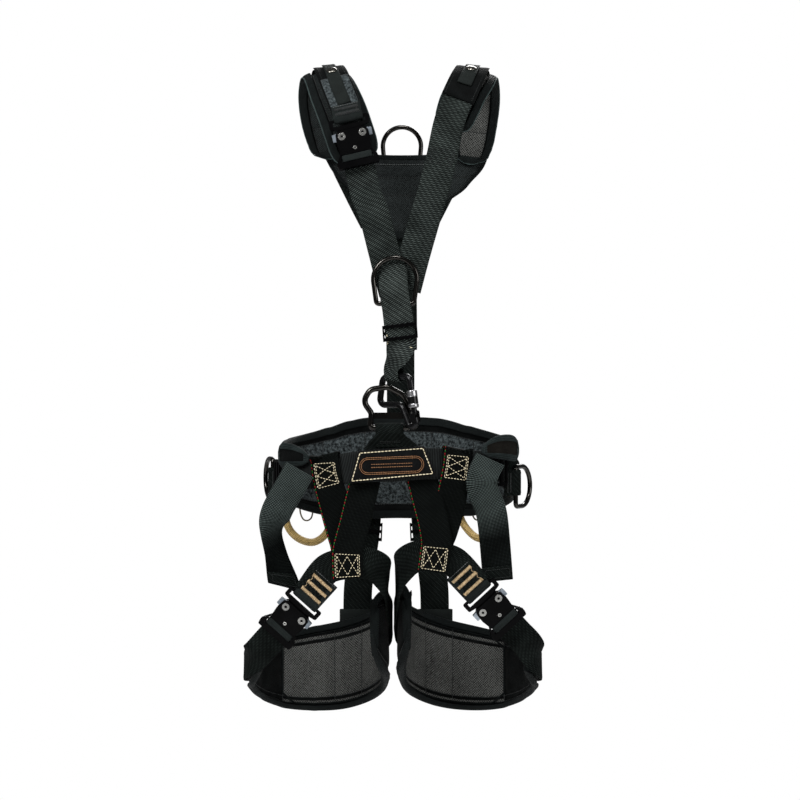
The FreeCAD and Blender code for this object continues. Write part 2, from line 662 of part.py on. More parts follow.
def side_ring_tabs():
    """Webbing that rises off the belt, passes over each ring's bar and returns to the belt."""
    clear = SIDE_BAR_OFFSET + RING_WIRE + RING_GAP + WEBBING_THICKNESS / 2 + 0.6
    half = ((0, clear), (1.2, clear - 0.2), (2.8, 10.2), (4.7, 5.8), (6.7, 3.6), (9.5, 3.2))
    rows = [(-turn, offset) for turn, offset in half[:0:-1]] + list(half)
    tabs = []
    for degrees, _height, tab_height, tab_width, _heading in SIDE_RINGS.values():
        stations = []
        for turn, offset in rows:
            x, y = waist_point(degrees + turn, offset)
            stations.append((x, y, tab_height, 0, 0, 1, tab_width))
        tabs.append(band(stations, WEBBING_THICKNESS, 1))
    return group(*tabs)


GEAR_ROUTE_RIGHT = [(-165, 68, -40), (-170, 66, -64), (-165, 68, -88), (-149, 76, -106),
                    (-127, 88, -112), (-108, 98, -100), (-98, 106, -74), (-96, 108, -50)]
GEAR_ROUTE_LEFT = [(96, 108, -50), (98, 106, -74), (107, 100, -94), (124, 91, -110),
                   (143, 80, -110), (155, 72, -92), (158, 71, -66), (155, 73, -42)]


def gear_loops():
    return group(limp_tube(GEAR_ROUTE_RIGHT, GEAR_LOOP_RADIUS),
                 limp_tube(GEAR_ROUTE_LEFT, GEAR_LOOP_RADIUS))


def accessory_loops():
    """Thin cord loops under the waist pad, one near each gear loop."""
    loops = []
    for x, y in ((-138, 83), (126, 94)):
        loops.append(limp_tube([(x - 10, y - 4, -62), (x - 8, y - 3, -76), (x, y, -84),
                                (x + 8, y + 3, -76), (x + 10, y + 4, -62)], ACCESSORY_RADIUS))
    return group(*loops)


# ---- risers and legs ----------------------------------------------------------------------
def front_risers(outer, inner):
    return group(band(outer, WEBBING_THICKNESS), band(inner, WEBBING_THICKNESS))


def front_risers_right():
    outer = [(-104, -109, 24, 0.9, -0.38, 0.22, 45), (-101, -109.5, -6, 0.9, -0.38, 0.2, 45),
             (-91, -110, -43, 0.95, -0.1, 0.18, 45), (-79, -111.5, -86, 0.96, 0, 0.15, 45),
             (-72, -113, -112, 1, 0, 0.05, 45), (-70, -113.5, -150, 1, 0, 0, 45)]
    inner = [(-40, -110.5, 8, 1, 0, -0.1, 45), (-46, -113, -20, 1, 0, 0, 45),
             (-52, -116, -45, 1, 0, 0.1, 45),
             (-60, -119.5, -78, 1, 0, 0.12, 45), (-69, -123, -112, 1, 0, 0.1, 45),
             (-70, -123.5, -134, 1, 0, 0.06, 45), (-69, -123.5, -155, 1, 0, 0.05, 45)]
    return front_risers(outer, inner)


def front_risers_left():
    outer = [(91, -111, 35, 0.9, 0.38, -0.18, 45), (87, -111.5, 0, 0.92, 0.35, -0.16, 45),
             (79, -110.5, -47, 0.95, 0.1, -0.15, 45), (67, -111.5, -88, 0.98, 0, -0.15, 45),
             (59, -113, -108, 1, 0, -0.15, 45), (55, -113.5, -140, 1, 0, -0.15, 45)]
    inner = [(34, -110.5, 8, 1, 0, 0, 45), (40, -113, -20, 1, 0, -0.05, 45),
             (47, -116, -48, 1, 0, -0.1, 45),
             (54, -119.5, -76, 1, 0, -0.15, 45), (58, -123, -102, 1, 0, -0.2, 45),
             (56, -123.5, -124, 1, 0, -0.2, 45), (53, -123.5, -146, 1, 0, -0.2, 45)]
    return front_risers(outer, inner)


STRAP_TO_RIGHT_PAD = [
    (-128, -101, -180, -0.74, 0, 0.67, 43), (-106, -110, -149, -0.74, 0, 0.67, 44),
    (-90, -118, -138, -0.35, 0, 0.94, 45), (-66, -120, -134, 0, 0, 1, 45),
    (-40, -116, -134, 0.1, 0, 1, 45), (-22, -101, -145, 0.4, 0, 0.9, 45),
    (-14, -74, -168, 0.15, 0.3, 0.9, 45)]
STRAP_TO_LEFT_PAD = [
    (118, -101, -169, 0.73, 0, 0.68, 43), (92, -110, -139, 0.73, 0, 0.68, 44),
    (77, -118, -129, 0.35, 0, 0.94, 45), (55, -120, -124, 0, 0, 1, 45),
    (31, -116, -124, -0.1, 0, 1, 45), (13, -101, -136, -0.4, 0, 0.9, 45),
    (4, -74, -160, -0.15, 0.3, 0.9, 45)]
# height of the webbing's middle at each row of the leg pad that it follows
STRAP_HEIGHTS = [None, -200, -224, -247, -272, -289, -301, -305, -303, -297, -288, None]
# leg pads: (x, y, bottom, top) of the middle surface, from the inner front end round the back
LEG_PAD_RIGHT = [(-36, -60, -272, -186), (-22, -36, -300, -183), (-16, 0, -318, -190),
                 (-20, 45, -340, -208), (-42, 78, -360, -226), (-84, 92, -374, -240),
                 (-136, 92, -376, -250), (-178, 76, -368, -258), (-206, 42, -350, -264),
                 (-217, 5, -331, -266), (-212, -28, -320, -270), (-200, -46, -312, -280)]
LEG_PAD_LEFT = [(20, -60, -264, -174), (10, -36, -290, -172), (8, 0, -312, -186),
                (14, 45, -338, -206), (36, 78, -358, -222), (76, 92, -372, -237),
                (128, 92, -376, -249), (170, 76, -368, -258), (197, 42, -350, -262),
                (208, 5, -331, -264), (203, -28, -320, -268), (191, -46, -312, -278)]


def leg_strap(front, rows, buckle):
    """One strap: from the tongue over the front, round outside the pad, to under the buckle."""
    stations = list(front)
    reach = LEG_PAD_THICKNESS / 2 + WEBBING_THICKNESS / 2 + 1.6
    centre = [sum(row[axis] for row in rows) / len(rows) for axis in (0, 1)]
    for index, height in enumerate(STRAP_HEIGHTS):
        if height is None:
            continue
        x, y = rows[index][:2]
        along = Vec(rows[index + 1][0] - rows[index - 1][0], rows[index + 1][1] - rows[index - 1][1], 0)
        outward = along.cross(Vec(0, 0, 1)).normalize()
        if outward.dot(Vec(x - centre[0], y - centre[1], 0)) < 0:
            outward = -outward
        lean = (0.0, 0.4, 0.9) if index == 1 else (0.0, 0.0, 1.0)
        stations.append((x + outward.x * reach, y + outward.y * reach, height) + lean
                        + (WEBBING_WIDTH,))
    across = buckle.Rotation.multVec(Vec(1, 0, 0))
    across = across if across.z > 0 else -across
    for along, drop in ((110, 2.2), (84, 0.6), (55, 0), (30, 0)):
        spot = buckle.multVec(Vec(0, along, -STRAP_UNDER_BUCKLE - drop))
        stations.append(tuple(spot) + tuple(across) + (WEBBING_WIDTH,))
    return band(stations, WEBBING_THICKNESS)


def leg_pad(rows):
    stations = [(x, y, (bottom + top) / 2, 0, 0, 1, top - bottom) for x, y, bottom, top in rows]
    return band(stations, LEG_PAD_THICKNESS, square=False)


REAR_ROUTE = [(45, 127, -15), (45, 127, -62), (46, 122, -86), (49, 116.5, -116),
              (54, 112, -148), (59, 109, -190), (60, 108.5, -232), (61, 108.5, -262)]
REAR_BUCKLE_ALONG = (0.09, -0.18, -0.98)
REAR_BUCKLE_AT = (47.6, 119.2, -101)


def mirrored_x(vector):
    return (-vector[0],) + tuple(vector[1:])


def rear_risers():
    right = [mirrored_x(point) for point in REAR_ROUTE]
    return group(webbing(right, (1.0, 0, 0), 44), webbing(REAR_ROUTE, (1.0, 0, 0), 44))


def rear_buckle(sign):
    at = REAR_BUCKLE_AT if sign > 0 else mirrored_x(REAR_BUCKLE_AT)
    along = REAR_BUCKLE_ALONG if sign > 0 else mirrored_x(REAR_BUCKLE_ALONG)
    body = three_bar_slider(55, 28, WEBBING_THICKNESS / 2 + 1.4 + 2.4)
    return moved(body, frame_at(at, along, (0, 1, 0)))


def nodes():
    parts = {
        "back_yoke": back_yoke(),
        "shoulder_pad_right": shoulder_pad(PAD_RIGHT, LEAN_RIGHT),
        "shoulder_pad_left": shoulder_pad(PAD_LEFT, LEAN_LEFT),
        "shoulder_strap_right": webbing(STRAP_RIGHT, LEAN_RIGHT),
        "shoulder_strap_left": webbing(STRAP_LEFT, LEAN_LEFT),
        "chest_strap_right": webbing(CHEST_RIGHT, LEAN_RIGHT),
        "shoulder_covers": shoulder_covers(),
        "keeper_loops": keeper_loops(),
        "snap_studs": snap_studs(),
        "dorsal_tab": dorsal_tab(),
        "dorsal_ring": dorsal_ring(),
        "sternal_ring": sternal_ring(),
        "sternal_strap": sternal_strap(),
        "sternal_slider": sternal_slider(),
        "back_strap": back_strap(),
        "back_slider": back_slider(),
        "carabiner_body": carabiner_body(),
        "gate_pin": gate_pin(),
        "carabiner_gate": carabiner_gate(),
        "gate_sleeve": gate_sleeve(),
        "ventral_ring": ventral_ring(),
        "ventral_tab": ventral_tab(),
        "label_patch": label_patch(),
        "waist_pad": waist_pad(),
        "waist_flaps": waist_flaps(),
        "waist_belt": waist_belt(),
        "waist_adjusters": waist_adjusters(),
        "waist_tails": waist_tails(),
        "side_ring_right": side_ring("right"),
        "side_ring_left": side_ring("left"),
        "side_ring_tabs": side_ring_tabs(),
        "gear_loops": gear_loops(),
        "accessory_loops": accessory_loops(),
        "front_risers_right": front_risers_right(),
        "front_risers_left": front_risers_left(),
        "leg_strap_right": leg_strap(STRAP_TO_RIGHT_PAD, LEG_PAD_RIGHT, LEG_BUCKLE_RIGHT),
        "leg_strap_left": leg_strap(STRAP_TO_LEFT_PAD, LEG_PAD_LEFT, LEG_BUCKLE_LEFT),
        "leg_pad_right": leg_pad(LEG_PAD_RIGHT),
        "leg_pad_left": leg_pad(LEG_PAD_LEFT),
        "rear_risers": rear_risers(),
        "rear_buckle_right": rear_buckle(-1),
        "rear_buckle_left": rear_buckle(1),
    }
    for name, placement in (("chest", CHEST_BUCKLE), ("leg_right", LEG_BUCKLE_RIGHT),
                            ("leg_left", LEG_BUCKLE_LEFT)):
        parts[name + "_tongue"] = moved(tongue(), placement)
        parts[name + "_housing"] = moved(housing(), placement)
        parts[name + "_rivets"] = moved(housing_rivets(), placement)
        parts[name + "_wrap"] = moved(buckle_wrap(), placement)
        parts[name + "_lever_a"] = moved(lever(1), placement)
        parts[name + "_lever_b"] = moved(lever(-1), placement)
    return parts


os.makedirs("parts", exist_ok=True)
for node, shape in nodes().items():
    state = "" if shape.isValid() else "  NOT VALID"
    print(f"{node:22s} solids {len(shape.Solids)}  volume {shape.Volume / 1000:8.2f} cm3{state}")
    shape.exportStep(f"parts/{node}.step")
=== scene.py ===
"""Looks of a full-body work harness: webbing, padded mesh, stitching, rings and buckles.

Stations and sizes are in millimetres, in the frame of the CAD model: +Z up, the wearer faces -Y
and the wearer's left hand is on the +X side.  Every mesh is turned into metres when it is made.
A strap station is (x, y, z, across_x, across_y, across_z, width); the width may be left out.
"""

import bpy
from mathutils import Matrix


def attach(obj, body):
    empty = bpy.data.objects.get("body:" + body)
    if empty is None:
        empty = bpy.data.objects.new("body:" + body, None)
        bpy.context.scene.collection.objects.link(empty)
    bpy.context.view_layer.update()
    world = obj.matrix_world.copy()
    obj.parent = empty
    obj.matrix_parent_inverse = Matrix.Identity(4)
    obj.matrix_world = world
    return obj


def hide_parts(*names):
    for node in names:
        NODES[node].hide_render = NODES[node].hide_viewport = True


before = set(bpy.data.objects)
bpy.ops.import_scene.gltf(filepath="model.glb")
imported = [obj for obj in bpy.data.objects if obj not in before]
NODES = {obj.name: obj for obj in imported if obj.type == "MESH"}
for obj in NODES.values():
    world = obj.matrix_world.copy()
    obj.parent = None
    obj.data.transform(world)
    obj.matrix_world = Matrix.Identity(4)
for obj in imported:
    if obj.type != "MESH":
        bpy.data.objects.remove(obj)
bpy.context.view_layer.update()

import math

import bmesh
import bpy
from mathutils import Matrix, Vector

MM = 0.001
ROOT = "harness"
UV_NAME = "Weave"
TAU = 2 * math.pi
WEB = 45.0                     # width of the main webbing
WEB_THICKNESS = 2.5
WEB_COLUMNS = 10               # quads across each face of a strap
SELVEDGE = 0.22                # how much thicker a strap is near its edges
SLANT_REACH = 60.0             # length of strap that a slanted end draws on
TAIL_SLANT = 0.6
LEVEL = (1.0, 0.0, 0.0)        # across direction of a strap that hangs square to the front
BAR_PLAY = 0.8                 # between a bar and the webbing that turns round it
RING_BAR = 3.5                 # radius of the D-rings' bars
VENTRAL_RING_BAR = 4.2
CARABINER_BAR = 4.6
CARABINER_MIDDLE_Y = -129.0
CARABINER_TURN = math.radians(40.0)
# places in the carabiner's plane: how far to the gate's side of its middle, and the height
CARABINER_TOP, GATE_FOOT, GATE_NOSE = (-3.0, 135.5), (35.5, 80.0), (29.0, 118.0)
SLEEVE_LENGTH, SLEEVE_RADIUS, SLEEVE_BORE = 25.0, 7.6, 4.3
SLEEVE_START = 11.0            # from the gate's foot
KNURL = (0.22, 0.62)           # of the sleeve's length
KNURL_RIDGES = 18


# ---- shader helpers -------------------------------------------------------------------------
class Shader:
    """A node material under construction, with short calls for the nodes it needs."""

    def __init__(self, name, **values):
        self.material = bpy.data.materials.new(name)
        self.material.use_nodes = True
        self.tree = self.material.node_tree
        self.surface = self.tree.nodes["Principled BSDF"]
        for socket, value in values.items():
            self.surface.inputs[socket.replace("_", " ")].default_value = value

    def add(self, kind, inputs=None, **settings):
        """Makes a node, feeds its inputs and gives its outputs."""
        node = self.tree.nodes.new("ShaderNode" + kind)
        for key, value in settings.items():
            setattr(node, key, value)
        for socket, value in (inputs or {}).items():
            self.feed(node.inputs[socket], value)
        return node.outputs

    def feed(self, socket, value):
        """Links an output to the socket, or sets the socket to a plain value."""
        if isinstance(value, bpy.types.NodeSocket):
            self.tree.links.new(value, socket)
        else:
            socket.default_value = value

    def math(self, operation, *values):
        return self.add("Math", dict(enumerate(values)), operation=operation)[0]

    def times(self, first, second):
        return self.math("MULTIPLY", first, second)

    def plus(self, first, second):
        return self.math("ADD", first, second)

    def woven(self):
        """Distance across and along the cloth, in millimetres."""
        split = self.add("SeparateXYZ", {0: self.add("UVMap", uv_map=UV_NAME)[0]})
        return self.times(split[0], 1 / MM), self.times(split[1], 1 / MM)

    def noise(self, scale, detail=3.0, roughness=0.55):
        point = self.add("TexCoord")["Object"]
        return self.add("TexNoise", {"Scale": scale, "Detail": detail, "Roughness": roughness,
                                     "Vector": point})[0]

    def wave(self, value, pitch):
        """A sine of the value, from 0 to 1, that repeats every pitch."""
        turned = self.math("SINE", self.times(value, TAU / pitch))
        return self.plus(self.times(turned, 0.5), 0.5)

    def ramp(self, value, *stops):
        """The value turned into a colour, by (place, colour) stops."""
        node = self.tree.nodes.new("ShaderNodeValToRGB")
        elements = node.color_ramp.elements
        while len(elements) < len(stops):
            elements.new(0.5)
        for element, (place, colour) in zip(elements, stops):
            element.position = place
            element.color = (*colour, 1.0)
        self.feed(node.inputs[0], value)
        return node.outputs[0]

    def between(self, value, low, high, start=0.0, end=1.0):
        """The value, from start to end, turned into low..high."""
        return self.add("MapRange", {0: value, "From Min": start, "From Max": end,
                                     "To Min": low, "To Max": high})[0]

    def patches(self, scale, detail, low, high):
        """Noise from about low to high."""
        return self.between(self.noise(scale, detail), low, high)

    def mix(self, factor, first, second):
        return self.add("MixRGB", {0: factor, 1: first, 2: second})[0]

    def colour(self, value):
        self.feed(self.surface.inputs["Base Color"], value)

    def roughness(self, value):
        self.feed(self.surface.inputs["Roughness"], value)

    def bump(self, height, depth_mm):
        """Raises the surface by the height map; later calls ride on earlier ones."""
        inputs = {"Distance": depth_mm * MM, "Height": height}
        normal = self.surface.inputs["Normal"]
        if normal.is_linked:
            inputs["Normal"] = normal.links[0].from_socket
        self.feed(normal, self.add("Bump", inputs)[0])


def cloth_shader(name, sheen, roughness, gloss=0.03):
    return Shader(name, Roughness=roughness, Sheen_Weight=sheen, Sheen_Roughness=0.4,
                  Specular_IOR_Level=gloss)


def dimmed(colour, share):
    return [channel * share for channel in colour]


def woven_webbing(name, pitch, dash, dark, light, tracer=None):
    """Black webbing in a broken twill: short slanted dashes, row over row.

    A tracer is the (start, end) across the strap of a yarn that is red and green by turns.
    """
    shader = cloth_shader(name, 0.004, 0.6)
    across, along = shader.woven()
    rows = shader.wave(shader.plus(along, shader.times(across, 0.36)), pitch)
    split = shader.wave(shader.plus(across, shader.times(along, 1.1)), dash)
    height = shader.times(rows, shader.between(split, 0.35, 1.0))
    patchy = shader.times(shader.patches(30.0, 4.0, 0.2, 1.5),
                          shader.patches(520.0, 2.0, 0.5, 1.4))
    colour = shader.ramp(shader.times(height, patchy), (0.12, dark), (0.5, dimmed(light, 0.4)),
                         (1.0, light))
    if tracer:
        colour = tracer_yarn(shader, colour, across, along, tracer)
    shader.colour(colour)
    shader.roughness(shader.between(height, 0.72, 0.48))
    shader.bump(height, 0.4)
    shader.bump(shader.noise(900.0, 2.0), 0.06)
    return shader.material


def tracer_yarn(shader, colour, across, along, tracer):
    """The colour with a dashed yarn over it, whose dashes are red and green by turns."""
    inside = shader.times(shader.math("GREATER_THAN", across, tracer[0]),
                          shader.math("LESS_THAN", across, tracer[1]))
    dashed = shader.times(inside, shader.math("GREATER_THAN", shader.wave(along, 4.0), 0.22))
    turns = shader.math("GREATER_THAN", shader.wave(along, 8.0), 0.5)
    return shader.mix(dashed, colour, shader.mix(turns, (*RED, 1.0), (*GREEN, 1.0)))


def grid_webbing(name, pitch, dark, light, turn):
    """Thin webbing in a plain weave, with painted shade that darkens it past the span turn along
    it.
    """
    shader = cloth_shader(name, 0.004, 0.6)
    across, along = shader.woven()
    height = shader.times(shader.wave(across, pitch), shader.wave(along, pitch))
    lit = shader.times(height, shader.patches(26.0, 4.0, 0.35, 1.6))
    # painted shade: the colour dims to 0.22 along the strap over the span turn
    lit = shader.times(lit, shader.between(along, 1.0, 0.22, *turn))
    shader.colour(shader.ramp(lit, (0.1, dark), (0.45, dimmed(light, 0.5)), (1.0, light)))
    shader.roughness(shader.between(height, 0.72, 0.5))
    shader.bump(height, 0.35)
    return shader.material


def ribbed_webbing(name, pitch, dark, light):
    """Satin webbing with ribs that run across it."""
    shader = cloth_shader(name, 0.01, 0.55, 0.06)
    across, along = shader.woven()
    yarn = shader.wave(shader.plus(across, shader.times(along, 0.4)), 0.9)
    height = shader.plus(shader.times(shader.wave(along, pitch), 0.8), shader.times(yarn, 0.2))
    lit = shader.times(height, shader.patches(45.0, 3.0, 0.5, 1.2))
    shader.colour(shader.ramp(lit, (0.1, dark), (1.0, light)))
    shader.roughness(shader.between(height, 0.78, 0.5))
    shader.bump(height, 0.4)
    return shader.material


def spacer_mesh(name, cell, dark, light):
    """Open knitted mesh: slanted rows of small holes over a darker ground."""
    shader = cloth_shader(name, 0.01, 0.7, 0.05)
    across, along = shader.woven()
    first = shader.wave(shader.plus(across, along), cell)
    second = shader.wave(shader.math("SUBTRACT", across, along), cell)
    threads = shader.math("MAXIMUM", first, shader.times(second, 0.9))
    patchy = shader.times(shader.patches(16.0, 2.0, 0.65, 1.25),
                          shader.patches(560.0, 2.0, 0.2, 1.8))
    shader.colour(shader.ramp(shader.times(threads, patchy), (0.3, dark),
                              (0.65, dimmed(light, 0.45)), (1.0, light)))
    shader.bump(threads, 0.6)
    shader.bump(shader.noise(500.0, 2.0), 0.1)
    return shader.material


def plain_cloth(name, dark, light, pitch=0.9, roughness=0.75, depth=0.18):
    """Fine plain weave, seen only close up."""
    shader = cloth_shader(name, 0.04, roughness)
    across, along = shader.woven()
    weave = shader.times(shader.wave(across, pitch), shader.wave(along, pitch))
    lit = shader.plus(shader.times(weave, 0.5), shader.times(shader.noise(60.0, 5.0), 0.5))
    shader.colour(shader.ramp(lit, (0.2, dark), (0.85, light)))
    shader.bump(weave, depth)
    shader.bump(shader.noise(160.0, 3.0), 0.15)
    return shader.material


def pile(name, dark, light):
    """Looped pile of a hook-and-loop patch or a brushed lining."""
    shader = cloth_shader(name, 0.12, 0.95)
    fluff = shader.noise(1400.0, 5.0, 0.75)
    tufts = shader.noise(260.0)
    both = shader.plus(shader.times(fluff, 0.6), shader.times(tufts, 0.4))
    shader.colour(shader.ramp(both, (0.44, dark), (0.62, light)))
    shader.bump(both, 0.7)
    return shader.material


def thread(name, dark, light):
    """Twisted sewing thread."""
    shader = cloth_shader(name, 0.1, 0.6, 0.3)
    shader.colour(shader.ramp(shader.noise(420.0), (0.3, dark), (0.7, light)))
    shader.bump(shader.noise(1500.0, 2.0), 0.08)
    return shader.material


def metal(name, dark, light, roughness, wear=0.12, metallic=1.0, gloss=0.5):
    """Polished or satin metal with faint smears and brighter worn spots."""
    shader = Shader(name, Metallic=metallic, Specular_IOR_Level=gloss)
    smear, fine = shader.noise(26.0, 5.0), shader.noise(240.0, 4.0)
    shader.colour(shader.ramp(smear, (0.3, dark), (0.75, light)))
    shader.roughness(shader.between(shader.times(smear, fine), roughness + wear,
                                    max(roughness - wear, 0.05)))
    shader.bump(fine, 0.03)
    return shader.material


def strand_tube(name, dark, light):
    """A tube whose cover shows long strands that wind slowly round it."""
    shader = cloth_shader(name, 0.05, 0.5, 0.4)
    across, along = shader.woven()
    strands = shader.wave(shader.plus(across, shader.times(along, 0.12)), 2.3)
    streaks = shader.times(strands, shader.patches(120.0, 4.0, 0.5, 1.4))
    shader.colour(shader.ramp(streaks, (0.1, dark), (0.9, light)))
    shader.bump(strands, 0.3)
    return shader.material


RED, GREEN = (0.34, 0.01, 0.018), (0.01, 0.16, 0.028)
BLACK = (0.0008, 0.0012, 0.0011)
TRACER = (-21.4, -20.4)        # of the risers, across the strap
TAIL_SHADE_SPAN = (85.0, 125.0)      # along a waist tail, the span over which painted shade darkens it to about a fifth
# by maker: the name of each look and the maker's other arguments
LOOK_TABLE = (
    (woven_webbing, {
        "webbing": (2.3, 3.4, BLACK, (0.026, 0.034, 0.031)),
        "chest_webbing": (2.7, 4.2, BLACK, (0.088, 0.108, 0.1)),
        "riser_webbing": (2.2, 3.2, BLACK, (0.008, 0.0105, 0.0095), TRACER),
        "sternal_webbing": (2.7, 4.2, BLACK, (0.125, 0.15, 0.14))}),
    (grid_webbing, {"tail_webbing": (2.1, BLACK, (0.125, 0.158, 0.15), TAIL_SHADE_SPAN)}),
    (ribbed_webbing, {
        "belt_webbing": (2.4, (0.001, 0.001, 0.001), (0.026, 0.03, 0.03)),
        "elastic": (1.7, (0.001, 0.001, 0.001), (0.028, 0.035, 0.033)),
        "satin": (0.8, (0.0015, 0.0018, 0.0018), (0.016, 0.021, 0.021)),
        "satin_band": (1.3, (0.0015, 0.002, 0.002), (0.03, 0.038, 0.037))}),
    (spacer_mesh, {
        "spacer": (4.0, (0.0008, 0.0008, 0.0008), (0.135, 0.138, 0.131)),
        "yoke_mesh": (3.4, (0.0006, 0.0008, 0.0008), (0.032, 0.038, 0.038))}),
    (plain_cloth, {
        "pad_cloth": ((0.001, 0.0012, 0.0012), (0.009, 0.0105, 0.0105)),
        "edge_tape": ((0.02, 0.03, 0.03), (0.12, 0.165, 0.16), 1.6, 0.5),
        "pale_edge": ((0.004, 0.006, 0.006), (0.045, 0.058, 0.058), 1.9, 0.55),
        "brown_lining": ((0.004, 0.0035, 0.003), (0.024, 0.022, 0.018)),
        "patch": ((0.002, 0.0022, 0.0024), (0.014, 0.015, 0.016), 1.4, 0.6, 0.25)}),
    (pile, {
        "pile": ((0.004, 0.005, 0.006), (0.1, 0.12, 0.125)),
        "lining": ((0.0008, 0.001, 0.0012), (0.1, 0.12, 0.125))}),
    (thread, {
        "beige_thread": ((0.6, 0.5, 0.3), (1.0, 0.9, 0.66)),
        "tan_thread": ((0.26, 0.17, 0.08), (0.72, 0.54, 0.32)),
        "copper_thread": ((0.2, 0.085, 0.035), (0.52, 0.26, 0.12)),
        "black_thread": ((0.0015, 0.0018, 0.002), (0.02, 0.024, 0.024)),
        "grey_thread": ((0.03, 0.034, 0.034), (0.16, 0.17, 0.17)),
        "flecked_cord": ((0.004, 0.004, 0.004), (0.3, 0.24, 0.14))}),
    (metal, {
        "gunmetal": ((0.022, 0.021, 0.02), (0.06, 0.057, 0.052), 0.16, 0.05),
        "stud_metal": ((0.07, 0.066, 0.058), (0.3, 0.29, 0.26), 0.2, 0.06),
        "anodised": ((0.003, 0.003, 0.0035), (0.01, 0.01, 0.011), 0.24, 0.08, 0.6),
        "sleeve_silver": ((0.3, 0.3, 0.31), (0.6, 0.6, 0.62), 0.25),
        "gloss_black": ((0.001, 0.001, 0.0011), (0.003, 0.003, 0.0033), 0.2, 0.06, 0.0, 0.04),
        "bright": ((0.22, 0.22, 0.21), (0.52, 0.52, 0.5), 0.22),
        "blue_steel": ((0.16, 0.19, 0.22), (0.42, 0.47, 0.53), 0.26)}),
    (strand_tube, {"tan_tube": ((0.1, 0.055, 0.012), (0.88, 0.62, 0.22))}))
LOOKS = {name: make(name, *values)
         for make, rows in LOOK_TABLE for name, values in rows.items()}


# ---- mesh helpers ---------------------------------------------------------------------------
def smooth_path(stations, steps):
    """Rows of a Catmull-Rom curve through the stations."""
    padded = [stations[0]] + list(stations) + [stations[-1]]
    rows = []
    for index in range(len(stations) - 1):
        before, start, end, after = padded[index:index + 4]
        for step in range(steps):
            t = step / steps
            row = []
            for a, b, c, d in zip(before, start, end, after):
                bend = (2 * a - 5 * b + 4 * c - d) * t ** 2
                twist = (3 * b - a - 3 * c + d) * t ** 3
                row.append(0.5 * (2 * b + (c - a) * t + bend + twist))
            rows.append(tuple(row))
    rows.append(tuple(stations[-1]))
    return rows


def make_mesh(name, points, faces, coordinates=None, materials=(), face_slots=None):
    """A smooth mesh object from points in millimetres and one (u, v) in millimetres a point."""
    mesh = bpy.data.meshes.new(name)
    mesh.from_pydata([tuple(point * MM) for point in points], [], faces)
    for material in materials:
        mesh.materials.append(LOOKS[material])
    layer = mesh.uv_layers.new(name=UV_NAME)
    for polygon in mesh.polygons:
        polygon.use_smooth = True
        if face_slots:
            polygon.material_index = face_slots[polygon.index]
        for loop in polygon.loop_indices:
            vertex = mesh.loops[loop].vertex_index
            u, v = coordinates[vertex] if coordinates else (0.0, 0.0)
            layer.data[loop].uv = (u * MM, v * MM)
    made = bpy.data.objects.new(name, mesh)
    bpy.context.scene.collection.objects.link(made)
    return made


def piece(made, body=ROOT, stands_for=()):
    """Puts a finished object on its body and the nodes it stands for."""
    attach(made, body)
    if stands_for:
        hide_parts(*stands_for)
    return made


def tube_faces(rings, around):
    """Quads between neighbouring rings of the same number of points, and both end faces."""
    faces = []
    for ring in range(rings - 1):
        here, there = ring * around, (ring + 1) * around
        for step in range(around):
            following = (step + 1) % around
            faces.append((here + step, there + step, there + following, here + following))
    faces.append(tuple(range(around)))
    faces.append(tuple((rings - 1) * around + step for step in reversed(range(around))))
    return faces


def circle(centre, side, other, radius, around):
    """Points round a centre, in the plane of side and other."""
    angles = [TAU * step / around for step in range(around)]
    return [centre + (side * math.cos(a) + other * math.sin(a)) * radius for a in angles]


def subdivide(made):
    """Rounds an object off by one level; gives the object."""
    rounding = made.modifiers.new("round", "SUBSURF")
    rounding.levels = rounding.render_levels = 1
    return made


def thicken(made, thickness, offset=-1.0):
    """Turns a sheet into a shell of the thickness, in millimetres."""
    shell = made.modifiers.new("shell", "SOLIDIFY")
    shell.thickness = thickness * MM
    shell.offset = offset


class Ribbon:
    """The middle surface of a strap: a place on it is u mm across and s mm along."""

    def __init__(self, stations, steps=8, square=True):
        rows = smooth_path([(*station, WEB)[:7] for station in stations], steps)
        self.centres = [Vector(row[:3]) for row in rows]
        self.halves = [row[6] / 2 for row in rows]
        self.across, self.faces, self.alongs = [], [], []
        self.lengths = [0.0]
        for index, row in enumerate(rows):
            ahead = self.centres[min(index + 1, len(rows) - 1)]
            along = (ahead - self.centres[max(index - 1, 0)]).normalized()
            face = along.cross(Vector(row[3:6])).normalized()
            across = face.cross(along) if square else Vector(row[3:6])
            self.across.append(across.normalized())
            self.faces.append(face)
            self.alongs.append(along)
            if index:
                step = (self.centres[index] - self.centres[index - 1]).length
                self.lengths.append(self.lengths[-1] + step)
        self.length = self.lengths[-1]

    def slant_end(self, slope):
        """Draws the rows near the end out along one side, so that the end is cut on the slant."""
        for index, s in enumerate(self.lengths):
            share = max(0.0, 1.0 - (self.length - s) / SLANT_REACH)
            self.across[index] = self.across[index] + self.alongs[index] * (slope * share)

    def place(self, u, s, lift=0.0):
        """The point, u mm to the across side and s mm along, lifted off the middle surface."""
        s = min(max(s, 0.0), self.length)
        index = 0
        while index < len(self.lengths) - 2 and self.lengths[index + 1] < s:
            index += 1
        share = (s - self.lengths[index]) / (self.lengths[index + 1] - self.lengths[index])
        centre = self.centres[index].lerp(self.centres[index + 1], share)
        across = self.across[index].lerp(self.across[index + 1], share).normalized()
        face = self.faces[index].lerp(self.faces[index + 1], share).normalized()
        return centre + across * u + face * lift

    def normal(self, s):
        index = min(range(len(self.lengths)), key=lambda k: abs(self.lengths[k] - s))
        return self.faces[index]


